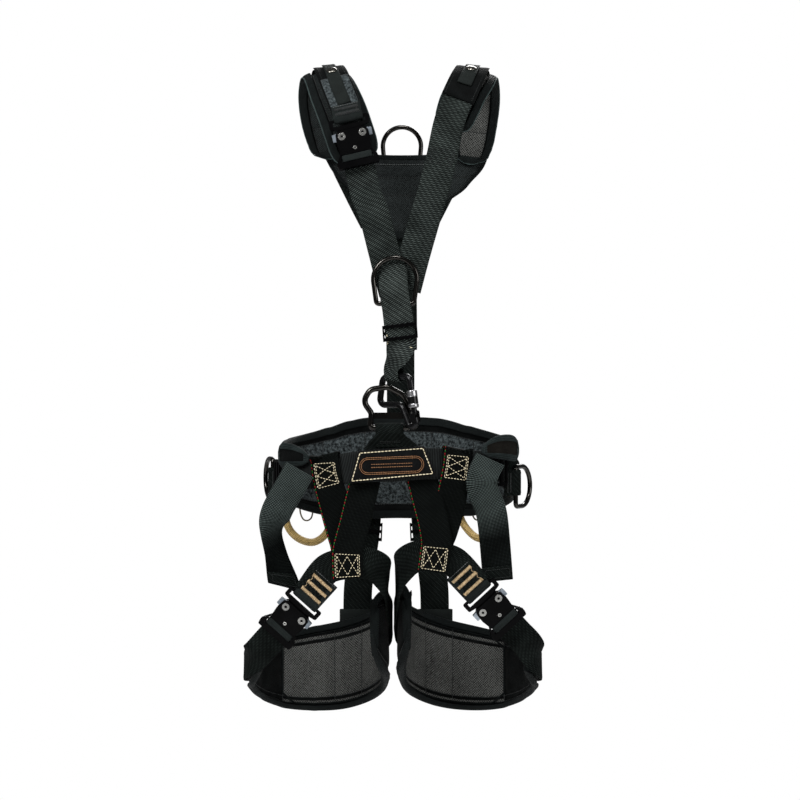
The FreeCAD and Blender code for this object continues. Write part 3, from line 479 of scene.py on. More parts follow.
def web_profile(half, thickness):
    """The section of a strap: flat faces, slightly thicker edges and round sides."""
    rise = thickness / 2
    top = []
    for step in range(WEB_COLUMNS + 1):
        u = -1 + 2 * step / WEB_COLUMNS
        lift = SELVEDGE if 0.78 < abs(u) < 0.99 else 0.0
        drop = 0.35 * rise if abs(u) == 1 else 0.0
        top.append((u * (half - 0.5), rise + lift - drop - SELVEDGE))
    bottom = [(u, -v) for u, v in reversed(top)]
    return top + [(half, 0.0)] + bottom + [(-half, 0.0)]


def strap(name, ribbon, look, thickness=WEB_THICKNESS, ripple=0.25, body=ROOT,
          stands_for=()):
    """A flat strap with real edges, that ripples a little along its run."""
    points, coordinates = [], []
    for index, centre in enumerate(ribbon.centres):
        s = ribbon.lengths[index]
        sway = ripple * math.sin(s / 23.0) + 0.5 * ripple * math.sin(s / 9.1 + 1.3)
        for u, v in web_profile(ribbon.halves[index], thickness):
            curl = ripple * (u / 22.0) ** 2 * math.sin(s / 31.0 + 0.7)
            points.append(centre + ribbon.across[index] * u
                          + ribbon.faces[index] * (v + curl + sway * 0.4))
            coordinates.append((u, s))
    rings = len(ribbon.centres)
    faces = tube_faces(rings, len(points) // rings)
    return piece(make_mesh(name, points, faces, coordinates, (look,)), body, stands_for)


class Thread:
    """Collects stitches, each a short swelling bar of thread, into one mesh."""

    SIDES = 5
    # share of a stitch's length, its radius and its lift, both in radii of the thread
    RINGS = ((0.0, 0.35, -0.45), (0.18, 0.9, 0.1), (0.82, 0.9, 0.1), (1.0, 0.35, -0.45))
    BAR_SPACING = 0.62
    BAR_LEAN = 0.35

    def __init__(self, name, look, radius, pitch=3.4, gap=0.7):
        self.name, self.look, self.radius = name, look, radius
        self.pitch, self.gap = pitch, gap
        self.points, self.faces = [], []

    def stitch(self, start, end, normal):
        side = (end - start).normalized().cross(normal).normalized()
        base = len(self.points)
        for share, swell, lift in self.RINGS:
            middle = start.lerp(end, share) + normal * (lift * self.radius)
            self.points += circle(middle, side, normal, self.radius * swell, self.SIDES)
        for face in tube_faces(len(self.RINGS), self.SIDES):
            self.faces.append(tuple(base + vertex for vertex in face))

    @staticmethod
    def shares(length, pitch, gap):
        """Where each stitch of a run starts and ends, as shares of the run's length."""
        count = max(1, round(length / pitch))
        bare = gap / pitch / 2
        return [((step + bare) / count, (step + 1 - bare) / count) for step in range(count)]

    def line(self, path, normal, pitch, gap=0.7):
        """Stitches along straight runs from point to point."""
        for start, end in zip(path, path[1:]):
            for first, last in self.shares((end - start).length, pitch, gap):
                self.stitch(start.lerp(end, first), start.lerp(end, last), normal)

    def on_ribbon(self, ribbon, route, lift):
        """Stitches along a route of (u, s) places on a strap."""
        for (u0, s0), (u1, s1) in zip(route, route[1:]):
            normal = ribbon.normal((s0 + s1) / 2) * math.copysign(1, lift)
            for shares in self.shares(math.hypot(u1 - u0, s1 - s0), self.pitch, self.gap):
                first, last = (ribbon.place(u0 + (u1 - u0) * t, s0 + (s1 - s0) * t, lift)
                               for t in shares)
                self.stitch(first, last, normal)

    def bartack(self, ribbon, start, end, width, lift):
        """A dense bar of stitches laid across its own line."""
        (u0, s0), (u1, s1) = start, end
        length = math.hypot(u1 - u0, s1 - s0)
        du, ds = (u1 - u0) / length, (s1 - s0) / length
        for step in range(int(length / self.BAR_SPACING) + 1):
            u, s = u0 + du * step * self.BAR_SPACING, s0 + ds * step * self.BAR_SPACING
            lean = self.BAR_LEAN if step % 2 else -self.BAR_LEAN
            first = ribbon.place(u - ds * width / 2 + du * lean,
                                 s + du * width / 2 + ds * lean, lift)
            last = ribbon.place(u + ds * width / 2 - du * lean,
                                s - du * width / 2 - ds * lean, lift)
            self.stitch(first, last, ribbon.normal(s) * math.copysign(1, lift))

    def crossed_box(self, ribbon, middle, half_width, half_length, lift, stacked=True):
        """A border, doubled along two sides, with crossed lines inside, in two cells."""
        u0, s0 = middle
        w, h = half_width, half_length
        corners = [(u0 - w, s0 - h), (u0 + w, s0 - h), (u0 + w, s0 + h), (u0 - w, s0 + h)]
        self.on_ribbon(ribbon, corners + corners[:1], lift)
        for side in (2.4 - w, w - 2.4):
            self.on_ribbon(ribbon, [(u0 + side, s0 - h + 2), (u0 + side, s0 + h - 2)], lift)
        w, h = half_width - 2.6, half_length - 2.6
        for low, high in ((-h, 0), (0, h)) if stacked else ((-w, 0), (0, w)):
            if stacked:
                lines = (((-w, low), (w, high)), ((w, low), (-w, high)))
            else:
                lines = (((low, -h), (high, h)), ((high, -h), (low, h)))
            for line in lines:
                self.on_ribbon(ribbon, [(u0 + u, s0 + s) for u, s in line], lift)

    def finish(self):
        piece(make_mesh(self.name, self.points, self.faces, None, (self.look,)))


# ---- padded pieces --------------------------------------------------------------------------
def rim_loop(last_row, last_column):
    """Places of a grid round its rim, in order."""
    loop = [(0, column) for column in range(last_column)]
    loop += [(row, last_column) for row in range(last_row)]
    loop += [(last_row, column) for column in range(last_column, 0, -1)]
    loop += [(row, 0) for row in range(last_row, 0, -1)]
    return loop


def ribbon_grid(ribbon, column_mm, row_mm, round_ends):
    """Rows of (point, normal, u, s) over a ribbon with rounded ends."""
    columns = max(6, round(2 * max(ribbon.halves) / column_mm))
    rows = max(4, round(ribbon.length / row_mm))
    grid = []
    for row in range(rows + 1):
        s = ribbon.length * row / rows
        end = min(s, ribbon.length - s)
        narrow = 0.0
        if end < round_ends:
            narrow = round_ends - math.sqrt(round_ends ** 2 - (round_ends - end) ** 2)
        index = min(range(len(ribbon.lengths)), key=lambda k: abs(ribbon.lengths[k] - s))
        half = max(ribbon.halves[index] - narrow, 4.0)
        cells = []
        for column in range(columns + 1):
            share = -1 + 2 * column / columns
            cells.append((ribbon.place(share * half, s), ribbon.normal(s), share * half, s))
        grid.append(cells)
    return grid


class Pad:
    """A closed padded piece on a grid, pinched where it is sewn and ready to be blown up.

    Seams and the ends of its panel are shares of the pad's width or length.
    """

    CAP = 5.0                  # the furthest that the simulation may move a point
    TAPE_REACH = 1.6           # grid steps that the binding covers, from the rim
    TAPE_LIFT = 0.8
    FACE_SIGNS = ((0, 1), (1, -1))

    def __init__(self, name, grid, thickness, looks, along_seams, across_seams, fill, panel):
        self.name, self.grid, self.fill = name, grid, fill
        # pads with more than two seams along them get painted shade beside those seams
        self.painted_seam_shade = len(along_seams) > 2
        self.rows, self.columns = len(grid), len(grid[0])
        self.panel = [round(share * (self.rows - 1)) for share in panel]
        self.along_seams = {round(share * (self.columns - 1)) for share in along_seams}
        self.across_seams = {round(share * (self.rows - 1)) for share in across_seams}
        self.looks = looks
        self.build(thickness)

    def index(self, row, column, side):
        return (side * self.rows + row) * self.columns + column

    def places(self):
        return [(row, column) for row in range(self.rows) for column in range(self.columns)]

    def rim(self):
        return rim_loop(self.rows - 1, self.columns - 1)

    def on_rim(self, row, column):
        return row in (0, self.rows - 1) or column in (0, self.columns - 1)

    def across_limits(self):
        """Cross seams run between the outermost seams along the pad."""
        if len(self.along_seams) < 2:
            return 0, self.columns - 1
        return min(self.along_seams), max(self.along_seams)

    def sewn(self, row, column):
        low, high = self.across_limits()
        return column in self.along_seams or (row in self.across_seams and low <= column <= high)

    def depth(self, row, column, thickness):
        """Thickness at a grid place: thin at the rim and at seams, fuller between them."""
        if self.on_rim(row, column):
            return 0.34 * thickness
        if self.sewn(row, column):
            return 0.2 * thickness
        edge = min(column, self.columns - 1 - column, row, self.rows - 1 - row)
        return thickness * (0.66 + 0.16 * min(edge, 3) / 3)

    def cell_faces(self):
        """The quads of both faces, each with its material slot: a face's own, or 2 as a border or
        as painted shade beside a seam.
        """
        low, high = self.across_limits()
        faces = []
        for row in range(self.rows - 1):
            for column in range(self.columns - 1):
                border = not (low <= column < high and self.panel[0] <= row < self.panel[1])
                # painted shade: the cells on one side of each such seam take the dark border
                # cloth, for the shade in the sewn valley
                border = border or (self.painted_seam_shade and column + 1 in self.along_seams)
                for side in (0, 1):
                    quad = [self.index(*place, side) for place in
                            ((row, column), (row + 1, column), (row + 1, column + 1),
                             (row, column + 1))]
                    faces.append((tuple(quad if side else reversed(quad)), 2 if border else side))
        return faces

    def build(self, thickness):
        points, coordinates = [], []
        for side, sign in self.FACE_SIGNS:
            for row, column in self.places():
                point, normal, u, s = self.grid[row][column]
                points.append(point + normal * (sign * 0.5 * self.depth(row, column, thickness)))
                coordinates.append((u, s))
        faces = self.cell_faces()
        loop = self.rim()
        for here, there in zip(loop, loop[1:] + loop[:1]):
            faces.append(((self.index(*here, 1), self.index(*here, 0),
                           self.index(*there, 0), self.index(*there, 1)), 2))
        self.object = make_mesh(self.name, points, [face for face, _ in faces], coordinates,
                                self.looks, [slot for _, slot in faces])
        check = bmesh.new()
        check.from_mesh(self.object.data)
        bmesh.ops.recalc_face_normals(check, faces=check.faces)
        check.to_mesh(self.object.data)
        check.free()
        held = [self.index(*place, side) for side in (0, 1) for place in self.places()
                if self.on_rim(*place) or self.sewn(*place)]
        self.object.vertex_groups.new(name="sewn").add(held, 1.0, "REPLACE")

    def settle(self, solved):
        """Takes the blown-up shape, held within a cap, then puckers it beside its seams."""
        mesh = self.object.data
        limit = self.CAP * MM
        for vertex in mesh.vertices:
            step = solved[vertex.index] - vertex.co
            if step.length > limit:
                step = step * (limit / step.length)
            vertex.co = vertex.co + step
        for side, sign in self.FACE_SIGNS:
            for row, column in self.places():
                if self.on_rim(row, column):
                    continue
                _, normal, u, s = self.grid[row][column]
                near = min([abs(column - seam) for seam in self.along_seams] + [4])
                pucker = 0.7 * math.sin(s / 3.1 + 2.0 * side) * math.exp(-near / 1.2)
                roll = 0.5 * math.sin(s / 17.0 + u / 29.0) + 0.35 * math.sin(u / 13.0 - s / 37.0)
                vertex = mesh.vertices[self.index(row, column, side)]
                vertex.co += normal * (sign * (pucker + roll) * MM)

    def smooth_out(self):
        """Rounds the pad off and keeps where its grid points come to lie."""
        subdivide(self.object)
        graph = bpy.context.evaluated_depsgraph_get()
        rounded = self.object.evaluated_get(graph).to_mesh()
        count = len(self.object.data.vertices)
        self.surface = [vertex.co / MM for vertex in rounded.vertices[:count]]

    def seam_point(self, row, column, side, lift):
        """A point of the finished pad, just off its surface, with the outward normal."""
        normal = self.grid[row][column][1]
        outward = normal if side == 0 else -normal
        return self.surface[self.index(row, column, side)] + outward * lift, outward

    def rim_section(self, row, column):
        """Both faces at the rim and one step inside it, the middle of the rim, the way out."""
        inside = (min(max(row, 1), self.rows - 2), min(max(column, 1), self.columns - 2))
        corners = [self.object.data.vertices[self.index(*place, side)].co / MM
                   for place in ((row, column), inside) for side in (0, 1)]
        rim = (corners[0] + corners[1]) / 2
        return corners, rim, (rim - (corners[2] + corners[3]) / 2).normalized()

    def rim_path(self):
        """A closed path round the outside of the rim tape."""
        path = []
        for place in self.rim():
            _, rim, out = self.rim_section(*place)
            path.append(rim + out * 1.9)
        return path + path[:1]

    def sew(self, threads):
        """Stitches laid along every seam of the pad."""
        low, high = self.across_limits()
        along = [[(row, column) for row in range(1, self.rows - 1)]
                 for column in sorted(self.along_seams)]
        across = [[(row, column) for column in range(max(low, 1), min(high, self.columns - 2) + 1)]
                  for row in sorted(self.across_seams)]
        for side in (0, 1):
            for seam in along + across:
                self.stitch_seam(threads, seam, side, 0.3)

    def stitch_seam(self, threads, seam, side, lift):
        places = [self.seam_point(row, column, side, lift) for row, column in seam]
        for (start, normal), (end, _) in zip(places, places[1:]):
            threads.line([start, end], normal, 3.2)

    def bind(self, look):
        """A folded tape over the rim: outer face, round the edge, inner face."""
        loop = self.rim()
        beyond, lift = self.TAPE_REACH - 1, self.TAPE_LIFT
        points, coordinates = [], []
        travelled, before = 0.0, None
        for row, column in loop:
            (outer, inner, next_outer, next_inner), rim, out = self.rim_section(row, column)
            normal = self.grid[row][column][1]
            travelled += (rim - before).length if before else 0.0
            before = rim
            path = [next_outer + (next_outer - outer) * beyond + normal * (lift * 0.7),
                    next_outer + normal * lift, outer + normal * lift + out * 0.3,
                    rim + out * 1.5,
                    inner - normal * lift + out * 0.3, next_inner - normal * lift,
                    next_inner + (next_inner - inner) * beyond - normal * (lift * 0.7)]
            points += path
            coordinates += [(step * 3.0, travelled) for step in range(len(path))]
        count = len(path)
        faces = []
        for ring in range(len(loop)):
            here, there = ring * count, (ring + 1) % len(loop) * count
            for step in range(count - 1):
                faces.append((here + step, here + step + 1, there + step + 1, there + step))
        tape = make_mesh(self.name + "_binding", points, faces, coordinates, (look,))
        thicken(tape, 0.7, 0.0)
        piece(subdivide(tape))

    def finish(self, node):
        piece(self.object, ROOT, (node,))


CLOTH_FRAMES = 20
CLOTH = {"quality": 5, "mass": 0.3, "use_pressure": True, "uniform_pressure_force": 4.0,
         "vertex_group_mass": "sewn", "pin_stiffness": 5.0, "tension_stiffness": 12.0,
         "compression_stiffness": 12.0}


def blow_up(pads):
    """One cloth simulation for every pad: pressure inside, held at the rims and seams."""
    scene = bpy.context.scene
    for pad in pads:
        cloth = pad.object.modifiers.new("cloth", "CLOTH")
        for setting, value in CLOTH.items():
            setattr(cloth.settings, setting, value)
        cloth.settings.effector_weights.gravity = 0.0
        cloth.point_cache.frame_start = 1
        cloth.point_cache.frame_end = CLOTH_FRAMES
    for number in range(1, CLOTH_FRAMES + 1):
        scene.frame_set(number)
    solved = {}
    graph = bpy.context.evaluated_depsgraph_get()
    for pad in pads:
        shape = pad.object.evaluated_get(graph).to_mesh()
        solved[pad.name] = [vertex.co.copy() for vertex in shape.vertices]
    for pad in pads:
        for modifier in list(pad.object.modifiers):
            pad.object.modifiers.remove(modifier)
        pad.settle(solved[pad.name])
    scene.frame_set(1)


# ---- stations of the soft parts, in millimetres ---------------------------------------------
LEAN_RIGHT, LEAN_LEFT = (1.0, 0.0, 0.3), (1.0, 0.0, -0.3)
PAD_RIGHT = [(-100, 76, 474, 48), (-103, 75, 500, 62), (-109, 68, 532, 68), (-113, 55, 561, 67),
             (-111, 33, 581, 66), (-107, 8, 589, 64), (-102, -22, 580, 62), (-93, -44, 559, 66),
             (-80, -62, 527, 68), (-70, -74, 498, 68), (-61, -80, 470, 66), (-55, -82, 450, 54)]
PAD_LEFT = [(112, 76, 466, 44), (116, 75, 494, 60), (120, 68, 530, 66), (122, 55, 560, 68),
            (121, 33, 581, 66), (119, 8, 589, 62), (115, -22, 578, 60), (103, -45, 557, 58),
            (91, -64, 529, 56), (80, -76, 498, 46)]
STRAP_RIGHT = [(-34, 96, 377), (-59, 96, 426), (-84, 96, 480), (-99, 92.5, 537), (-106, 78, 566),
               (-107, 48, 589), (-103, 8, 599), (-96, -32, 587), (-86, -60, 562), (-75, -80, 534),
               (-70, -88, 520)]
STRAP_LEFT = [(43, 96, 377), (68, 96, 426), (96, 96, 480), (114, 92, 537), (120, 78, 566),
              (121, 48, 589), (117, 8, 599), (110, -32, 586), (98, -60, 560), (86, -80, 531),
              (76, -92, 500), (66, -98, 452), (54, -103, 405), (39, -105, 354), (26, -105.5, 308),
              (14, -105.5, 262)]
CHEST_RIGHT = [(-61, -87, 478), (-52, -91, 440), (-44, -95, 403), (-32, -101, 373),
               (-18, -108, 319), (-9, -110, 283), (-2, -110, 256)]
YOKE_ROWS = [(487, -118, 142), (470, -107, 139), (455, -98, 131), (440, -84, 116),
             (424, -68, 102), (405, -47, 74), (388, -30, 58), (374, -17, 46), (352, -5, 41)]
YOKE_Y, YOKE_DIP, YOKE_COLUMNS = 88.75, 9.0, 36
DORSAL_BAR, VENTRAL_BAR = (9.0, 104.6, 470.0), (-9.0, -131.0, 62.0)
WAIST_X, WAIST_A, WAIST_B = 3.0, 181.0, 121.0
BELT_ROWS = [(-122, -22, 23), (-105, -34, 11), (-90, -40, 5), (-60, -38, 7), (-30, -33, 12),
             (0, -31, 14), (30, -33, 12), (60, -36, 9), (90, -36, 9), (105, -28, 17),
             (122, -16, 29)]
PAD_ROWS = [(-126, 0, 26), (-112, -34, 34), (-90, -48, 38), (-70, -58, 44), (-45, -72, 54),
            (-20, -80, 72), (0, -80, 74), (22, -80, 72), (45, -73, 57), (70, -58, 46),
            (90, -46, 42), (112, -30, 40), (126, 6, 32)]
FLAP_RIGHT = [(-113, 3, 38), (-120, 4, 38), (-129, 6, 34), (-137, 9, 24)]
FLAP_LEFT = [(114, 11, 44), (122, 14, 50), (132, 18, 48), (141, 22, 36)]
FRONT_ROUTE = [(-153.5, -66, -2), (-128, -88, -6), (-100, -103, -3), (-58, -117.5, 5),
               (-6, -121, 6.5), (46, -117.5, 10), (88, -106, 8), (131, -89, 5), (159, -66, 5)]
LABEL_CORNERS = [(-54, 29), (41, 36), (59, -7), (-69, -19)]
LABEL_FRONT = -128.7
LEG_PAD_RIGHT = [(-36, -60, -272, -186), (-22, -36, -300, -183), (-16, 0, -318, -190),
                 (-20, 45, -340, -208), (-42, 78, -360, -226), (-84, 92, -374, -240),
                 (-136, 92, -376, -250), (-178, 76, -368, -258), (-206, 42, -350, -264),
                 (-217, 5, -331, -266), (-212, -28, -320, -270), (-200, -46, -312, -280)]
LEG_PAD_LEFT = [(20, -60, -264, -174), (10, -36, -290, -172), (8, 0, -312, -186),
                (14, 45, -338, -206), (36, 78, -358, -222), (76, 92, -372, -237),
                (128, 92, -376, -249), (170, 76, -368, -258), (197, 42, -350, -262),
                (208, 5, -331, -264), (203, -28, -320, -268), (191, -46, -312, -278)]
LEG_PAD_OUT, LEG_STRAP_GAP = 7.0, 1.6          # from a pad's middle out, then to its strap
# heights of a leg strap beside the stations of its pad, where it has any
STRAP_HEIGHTS = [None, -200, -224, -247, -272, -289, -301, -305, -303, -297, -288, None]
STRAP_TO_RIGHT_PAD = [
    (-128, -101, -180, -0.74, 0, 0.67, 43), (-106, -110, -149, -0.74, 0, 0.67, 44),
    (-90, -118, -138, -0.35, 0, 0.94), (-66, -120, -134, 0, 0, 1),
    (-40, -116, -134, 0.1, 0, 1), (-22, -101, -145, 0.4, 0, 0.9),
    (-14, -74, -168, 0.15, 0.3, 0.9)]
STRAP_TO_LEFT_PAD = [
    (118, -101, -169, 0.73, 0, 0.68, 43), (92, -110, -139, 0.73, 0, 0.68, 44),
    (77, -118, -129, 0.35, 0, 0.94), (55, -120, -124, 0, 0, 1),
    (31, -116, -124, -0.1, 0, 1), (13, -101, -136, -0.4, 0, 0.9),
    (4, -74, -160, -0.15, 0.3, 0.9)]
RISERS = {
    "right_outer": [(-103.5, -109, 17, 0.9, -0.38, 0.22), (-101, -109.5, -6, 0.9, -0.38, 0.2),
                    (-91, -110, -43, 0.95, -0.1, 0.18), (-79, -111.5, -86, 0.96, 0, 0.15),
                    (-72, -113, -112, 1, 0, 0.05), (-70, -113.5, -150, 1, 0, 0)],
    "right_inner": [(-40, -110.5, 8, 1, 0, -0.1), (-46, -113, -20, 1, 0, 0),
                    (-52, -116, -45, 1, 0, 0.1), (-60, -119.5, -78, 1, 0, 0.12),
                    (-69, -123, -112, 1, 0, 0.1), (-70, -123.5, -134, 1, 0, 0.06),
                    (-69, -123.5, -155, 1, 0, 0.05)],
    "left_outer": [(90, -111, 26, 0.9, 0.38, -0.2), (87, -111.5, 0, 0.92, 0.35, -0.16),
                   (79, -110.5, -47, 0.95, 0.1, -0.15), (67, -111.5, -88, 0.98, 0, -0.15),
                   (59, -113, -108, 1, 0, -0.15), (55, -113.5, -140, 1, 0, -0.15)],
    "left_inner": [(34, -110.5, 8, 1, 0, 0), (40, -113, -20, 1, 0, -0.05),
                   (47, -116, -48, 1, 0, -0.1), (54, -119.5, -76, 1, 0, -0.15),
                   (58, -123, -102, 1, 0, -0.2), (56, -123.5, -124, 1, 0, -0.2),
                   (53, -123.5, -146, 1, 0, -0.2)]}
TAIL_RIGHT = [(-139, -108, 1, 0.78, 0, -0.62), (-157, -108, -31, 0.8, 0, -0.6),
              (-173, -103, -60, 0.84, 0.1, -0.45), (-180, -94, -90, 0.6, 0.75, -0.2),
              (-174, -84, -126, 0.65, 0.7, -0.1), (-162, -78, -172, 0.93, 0.2, -0.3)]
TAIL_LEFT = [(137, -108, 16, 0.95, 0, -0.2), (124, -114, -18, 0.87, 0, 0.48),
             (138, -105, -59, 0.96, 0, 0.28), (144, -94, -102, 0.98, 0.1, 0.1),
             (149, -80, -162, 0.98, 0.1, 0.08)]
REAR_ROUTE = [(45, 127, -15), (45, 127, -62), (46, 122, -86), (49, 116.5, -116),
              (54, 112, -148), (59, 109, -190), (60, 108.5, -232), (61, 108.5, -262)]
BACK_ROUTE = [(7, 99.3, 398), (7, 99.3, 350), (7, 103.3, 300), (7, 110.8, 225), (7, 117, 160),
              (7, 123, 95), (7, 127, 60), (7, 127, -6)]
BACK_TAIL = [(10.5, 104.7, 332), (11, 107, 300), (12, 114.4, 225), (12, 118.6, 180)]
GEAR_ROUTES = {
    "right": [(-165, 68, -40), (-170, 66, -67), (-165, 68, -93), (-149, 76, -111),
              (-127, 88, -117), (-108, 98, -104), (-98, 106, -76), (-96, 108, -50)],
    "left": [(96, 108, -50), (98, 106, -74), (107, 100, -94), (124, 91, -110),
             (143, 80, -110), (155, 72, -92), (158, 71, -66), (155, 73, -42)]}
ACCESSORY_CENTRES = {"right": (-138, 83), "left": (126, 94)}
ACCESSORY_LOOP = [(-10, -4, -60), (-9, -3.5, -72), (-5, -2, -81), (1, 0, -83.5), (7, 2.5, -80),
                  (9.5, 3.5, -71), (10, 4, -60)]
SIDE_TABS = ((-90, -19.0, 40.0), (112, -20.0, 38.0))
SIDE_BAR_OUT = 6.6             # from the belt to the middle of a side ring's bar
FOLD_DEPTH = 5.2               # half the way from a riser to its part behind the belt
# buckle: name, middle of the tongue's frame, direction that the housing slides away
BUCKLES = {"chest": ((-68, -93, 507), (0.225, -0.10, -0.97)),
           "leg_right": ((-135, -92, -194), (-0.65, 0.22, -0.725)),
           "leg_left": ((124, -92, -182), (0.66, 0.22, -0.715))}
UNDER_BUCKLE = 8.4
# in a buckle's own plane: how far towards the housing, and how far out
TONGUE_BEND = [(-10, 5.4), (-6, 4.4), (-2.6, 2.6), (-1.6, 0.0), (-2.6, -2.6), (-6, -4.2),
               (-12, -4.4)]
WRAP_BEND = [(57.0, 5.6), (52.2, 5.9), (48.6, 4.2), (48.9, -0.6), (50.4, -3.0), (55.5, -3.3)]
RIVETS = ((15.5, 20, 2.0), (-15.5, 20, 2.0), (0, 40, 1.0))      # x, y and radius of the hollow
GEAR_RADIUS, GEAR_RIB_PITCH = 5.8, 3.4
CORD_RADIUS, CORD_RIB_PITCH = 1.2, 1.6
RIB = 0.12


def with_across(route, across, width=WEB):
    """Gives every point of a route the same across direction and width."""
    return [(*point, *across, width) for point in route]


def over_shoulder(route, lean):
    """Stations of a shoulder strap or pad, which lies flatter on top of the shoulder."""
    stations = []
    for x, y, z, *width in route:
        share = 1.0 - 0.7 * min(max((z - 545.0) / 40.0, 0.0), 1.0)
        stations.append((x, y, z, lean[0], lean[1], lean[2] * share, *(width or (WEB,))))
    return stations


def waist_point(degrees, offset):
    """A point of the belt ellipse; 0 degrees is the back, +90 the wearer's left hip."""
    angle = math.radians(degrees)
    return (WAIST_X + (WAIST_A + offset) * math.sin(angle), (WAIST_B + offset) * math.cos(angle))


def waist_stations(rows, offset):
    """Stations round the waist from (degrees, bottom, top) rows, offset mm off the belt."""
    stations = []
    for degrees, bottom, top in rows:
        x, y = waist_point(degrees, offset)
        stations.append((x, y, (bottom + top) / 2, 0, 0, 1, top - bottom))
    return stations


def dense_waist(rows, offset):
    """The same, on a path fine enough to keep to the ellipse."""
    return waist_stations(smooth_path(rows, 4), offset)


def half_turn(bar, radius, across, side, upward, width):
    """Stations of webbing that turns round a bar, from the -side face to the +side face."""
    stations = []
    for step in range(7):
        angle = math.pi * step / 6
        shift = Vector(side) * (-radius * math.cos(angle))
        rise = upward * radius * math.sin(angle)
        stations.append((bar[0] + shift.x, bar[1] + shift.y, bar[2] + rise, *across, width))
    return stations


def turn_radius(bar):
    """Radius of the middle of webbing that turns round a bar."""
    return bar + BAR_PLAY + WEB_THICKNESS / 2


def carabiner_point(u, z):
    """A point of the carabiner's plane, u mm to the gate's side of its middle."""
    return (u * math.cos(CARABINER_TURN), CARABINER_MIDDLE_Y - u * math.sin(CARABINER_TURN), z)


def buckle_place(name):
    """Turns a point of a buckle's own axes into the harness frame."""
    origin, along = BUCKLES[name]
    y_axis = Vector(along).normalized()
    x_axis = y_axis.cross(Vector((0, -1, 0))).normalized()
    z_axis = x_axis.cross(y_axis)
    turn = Matrix((x_axis, y_axis, z_axis)).transposed().to_4x4()
    return Matrix.Translation(Vector(origin)) @ turn


def in_buckle(place, outline, width):
    """Stations of webbing through a buckle, from (along, out) places in its own axes."""
    across = place.to_3x3() @ Vector((1, 0, 0))
    return [(*(place @ Vector((0, along, out))), *across, width) for along, out in outline]


# ---- pads -----------------------------------------------------------------------------------
def yoke_grid():
    """A grid over the yoke: wide at the shoulders, narrow above the back strap."""
    grid = []
    for index, (z, left, right) in enumerate(smooth_path(YOKE_ROWS, 3)):
        fall = YOKE_DIP * max(0.0, 1 - index / 8)
        cells = []
        for column in range(YOKE_COLUMNS + 1):
            share = -1 + 2 * column / YOKE_COLUMNS
            x = (left + right) / 2 + share * (right - left) / 2
            drop = fall * (1 - share ** 2) - 2.0 * fall * max(0.0, abs(share) - 0.8)
            cells.append((Vector((x, YOKE_Y, z - drop)), Vector((0, 1, 0)), x,
                          YOKE_ROWS[0][0] - z + drop))
        grid.append(cells)
    return grid


def make_pads():
    """Every padded piece, blown up together, then bound and stitched."""
    pads = []

    def add(name, node, grid, thickness, looks, along=(), across=(), tape="satin", fill=0.6,
            panel=(0.0, 1.0)):
        pad = Pad(name, grid, thickness, looks, along, across, fill, panel)
        pads.append((pad, node, tape))

    for side, rows, lean, across in (("right", PAD_RIGHT, LEAN_RIGHT, (0.14,)),
                                     ("left", PAD_LEFT, LEAN_LEFT, (0.16,))):
        pad = Ribbon(over_shoulder(rows, lean))
        # painted shade: the right pad's mesh, the same as the left's, takes the darker yoke look
        # because it lies in shade
        mesh = "yoke_mesh" if side == "right" else "spacer"
        add("shoulder_pad_" + side + "_cushion", "shoulder_pad_" + side,
            ribbon_grid(pad, 6.0, 6.0, 14.0), 11.0, (mesh, mesh, "pad_cloth"), (0.17, 0.83),
            across)
    add("back_yoke_panel", "back_yoke", yoke_grid(), 8.5,
        ("yoke_mesh", "yoke_mesh", "pad_cloth"), (0.04, 0.96), (0.14, 0.317, 0.56))
    add("waist_pad_cushion", "waist_pad",
        ribbon_grid(Ribbon(dense_waist(PAD_ROWS, -9.5), 2, False), 7.0, 7.0, 16.0), 11.0,
        ("lining", "pad_cloth", "pad_cloth"), (0.12, 0.88), (0.16, 0.3, 0.415, 0.585, 0.7, 0.84))
    for side, rows, offset in (("right", FLAP_RIGHT, 10.0), ("left", FLAP_LEFT, 13.2)):
        grid = ribbon_grid(Ribbon(waist_stations(rows, offset), 6, False), 5.0, 5.0, 12.0)
        add("waist_flap_" + side, "waist_flaps", grid, 5.0,
            ("pad_cloth", "brown_lining", "pad_cloth"), tape="pale_edge", fill=0.3)
    for side, rows in (("right", LEG_PAD_RIGHT), ("left", LEG_PAD_LEFT)):
        stations = [(x, y, (bottom + top) / 2, 0, 0, 1, top - bottom)
                    for x, y, bottom, top in rows]
        grid = ribbon_grid(Ribbon(stations, 8, False), 5.2, 6.5, 30.0)
        faces = ("pad_cloth", "spacer") if side == "right" else ("spacer", "pad_cloth")
        add("leg_pad_" + side + "_cushion", "leg_pad_" + side, grid, 13.0,
            (*faces, "pad_cloth"), (0.07, 0.17, 0.83, 0.93), (0.2, 0.39, 0.497, 0.68),
            panel=(0.2, 0.68))
    blow_up([pad for pad, _, _ in pads])
    threads = Thread("pad_seam_threads", "black_thread", 0.8)
    for pad, _, tape in pads:
        pad.smooth_out()
        pad.bind(tape)
        pad.sew(threads)
    made = {pad.name: pad for pad, _, _ in pads}
    for side in ("right", "left"):
        rim = made["shoulder_pad_" + side + "_cushion"].rim_path()
        sweep("shoulder_pad_" + side + "_piping", rim, 0.9, "edge_tape", 6)
    yoke_stitches(made["back_yoke_panel"])
    for side, facing in (("right", 1), ("left", 0)):
        pad = made["leg_pad_" + side + "_cushion"]
        sweep("leg_pad_" + side + "_piping", panel_outline(pad, facing), 1.6, "satin", 8)
    for pad, node, _ in pads:
        pad.finish(node)
    threads.finish()


def yoke_stitches(pad):
    """A pale row along the yoke's top seam, on the side that faces the wearer."""
    pale = Thread("yoke_stitches", "grey_thread", 0.6)
    row = min(pad.across_seams)
    pad.stitch_seam(pale, [(row, column) for column in range(8, pad.columns - 8)], 1, 1.0)
    pale.finish()


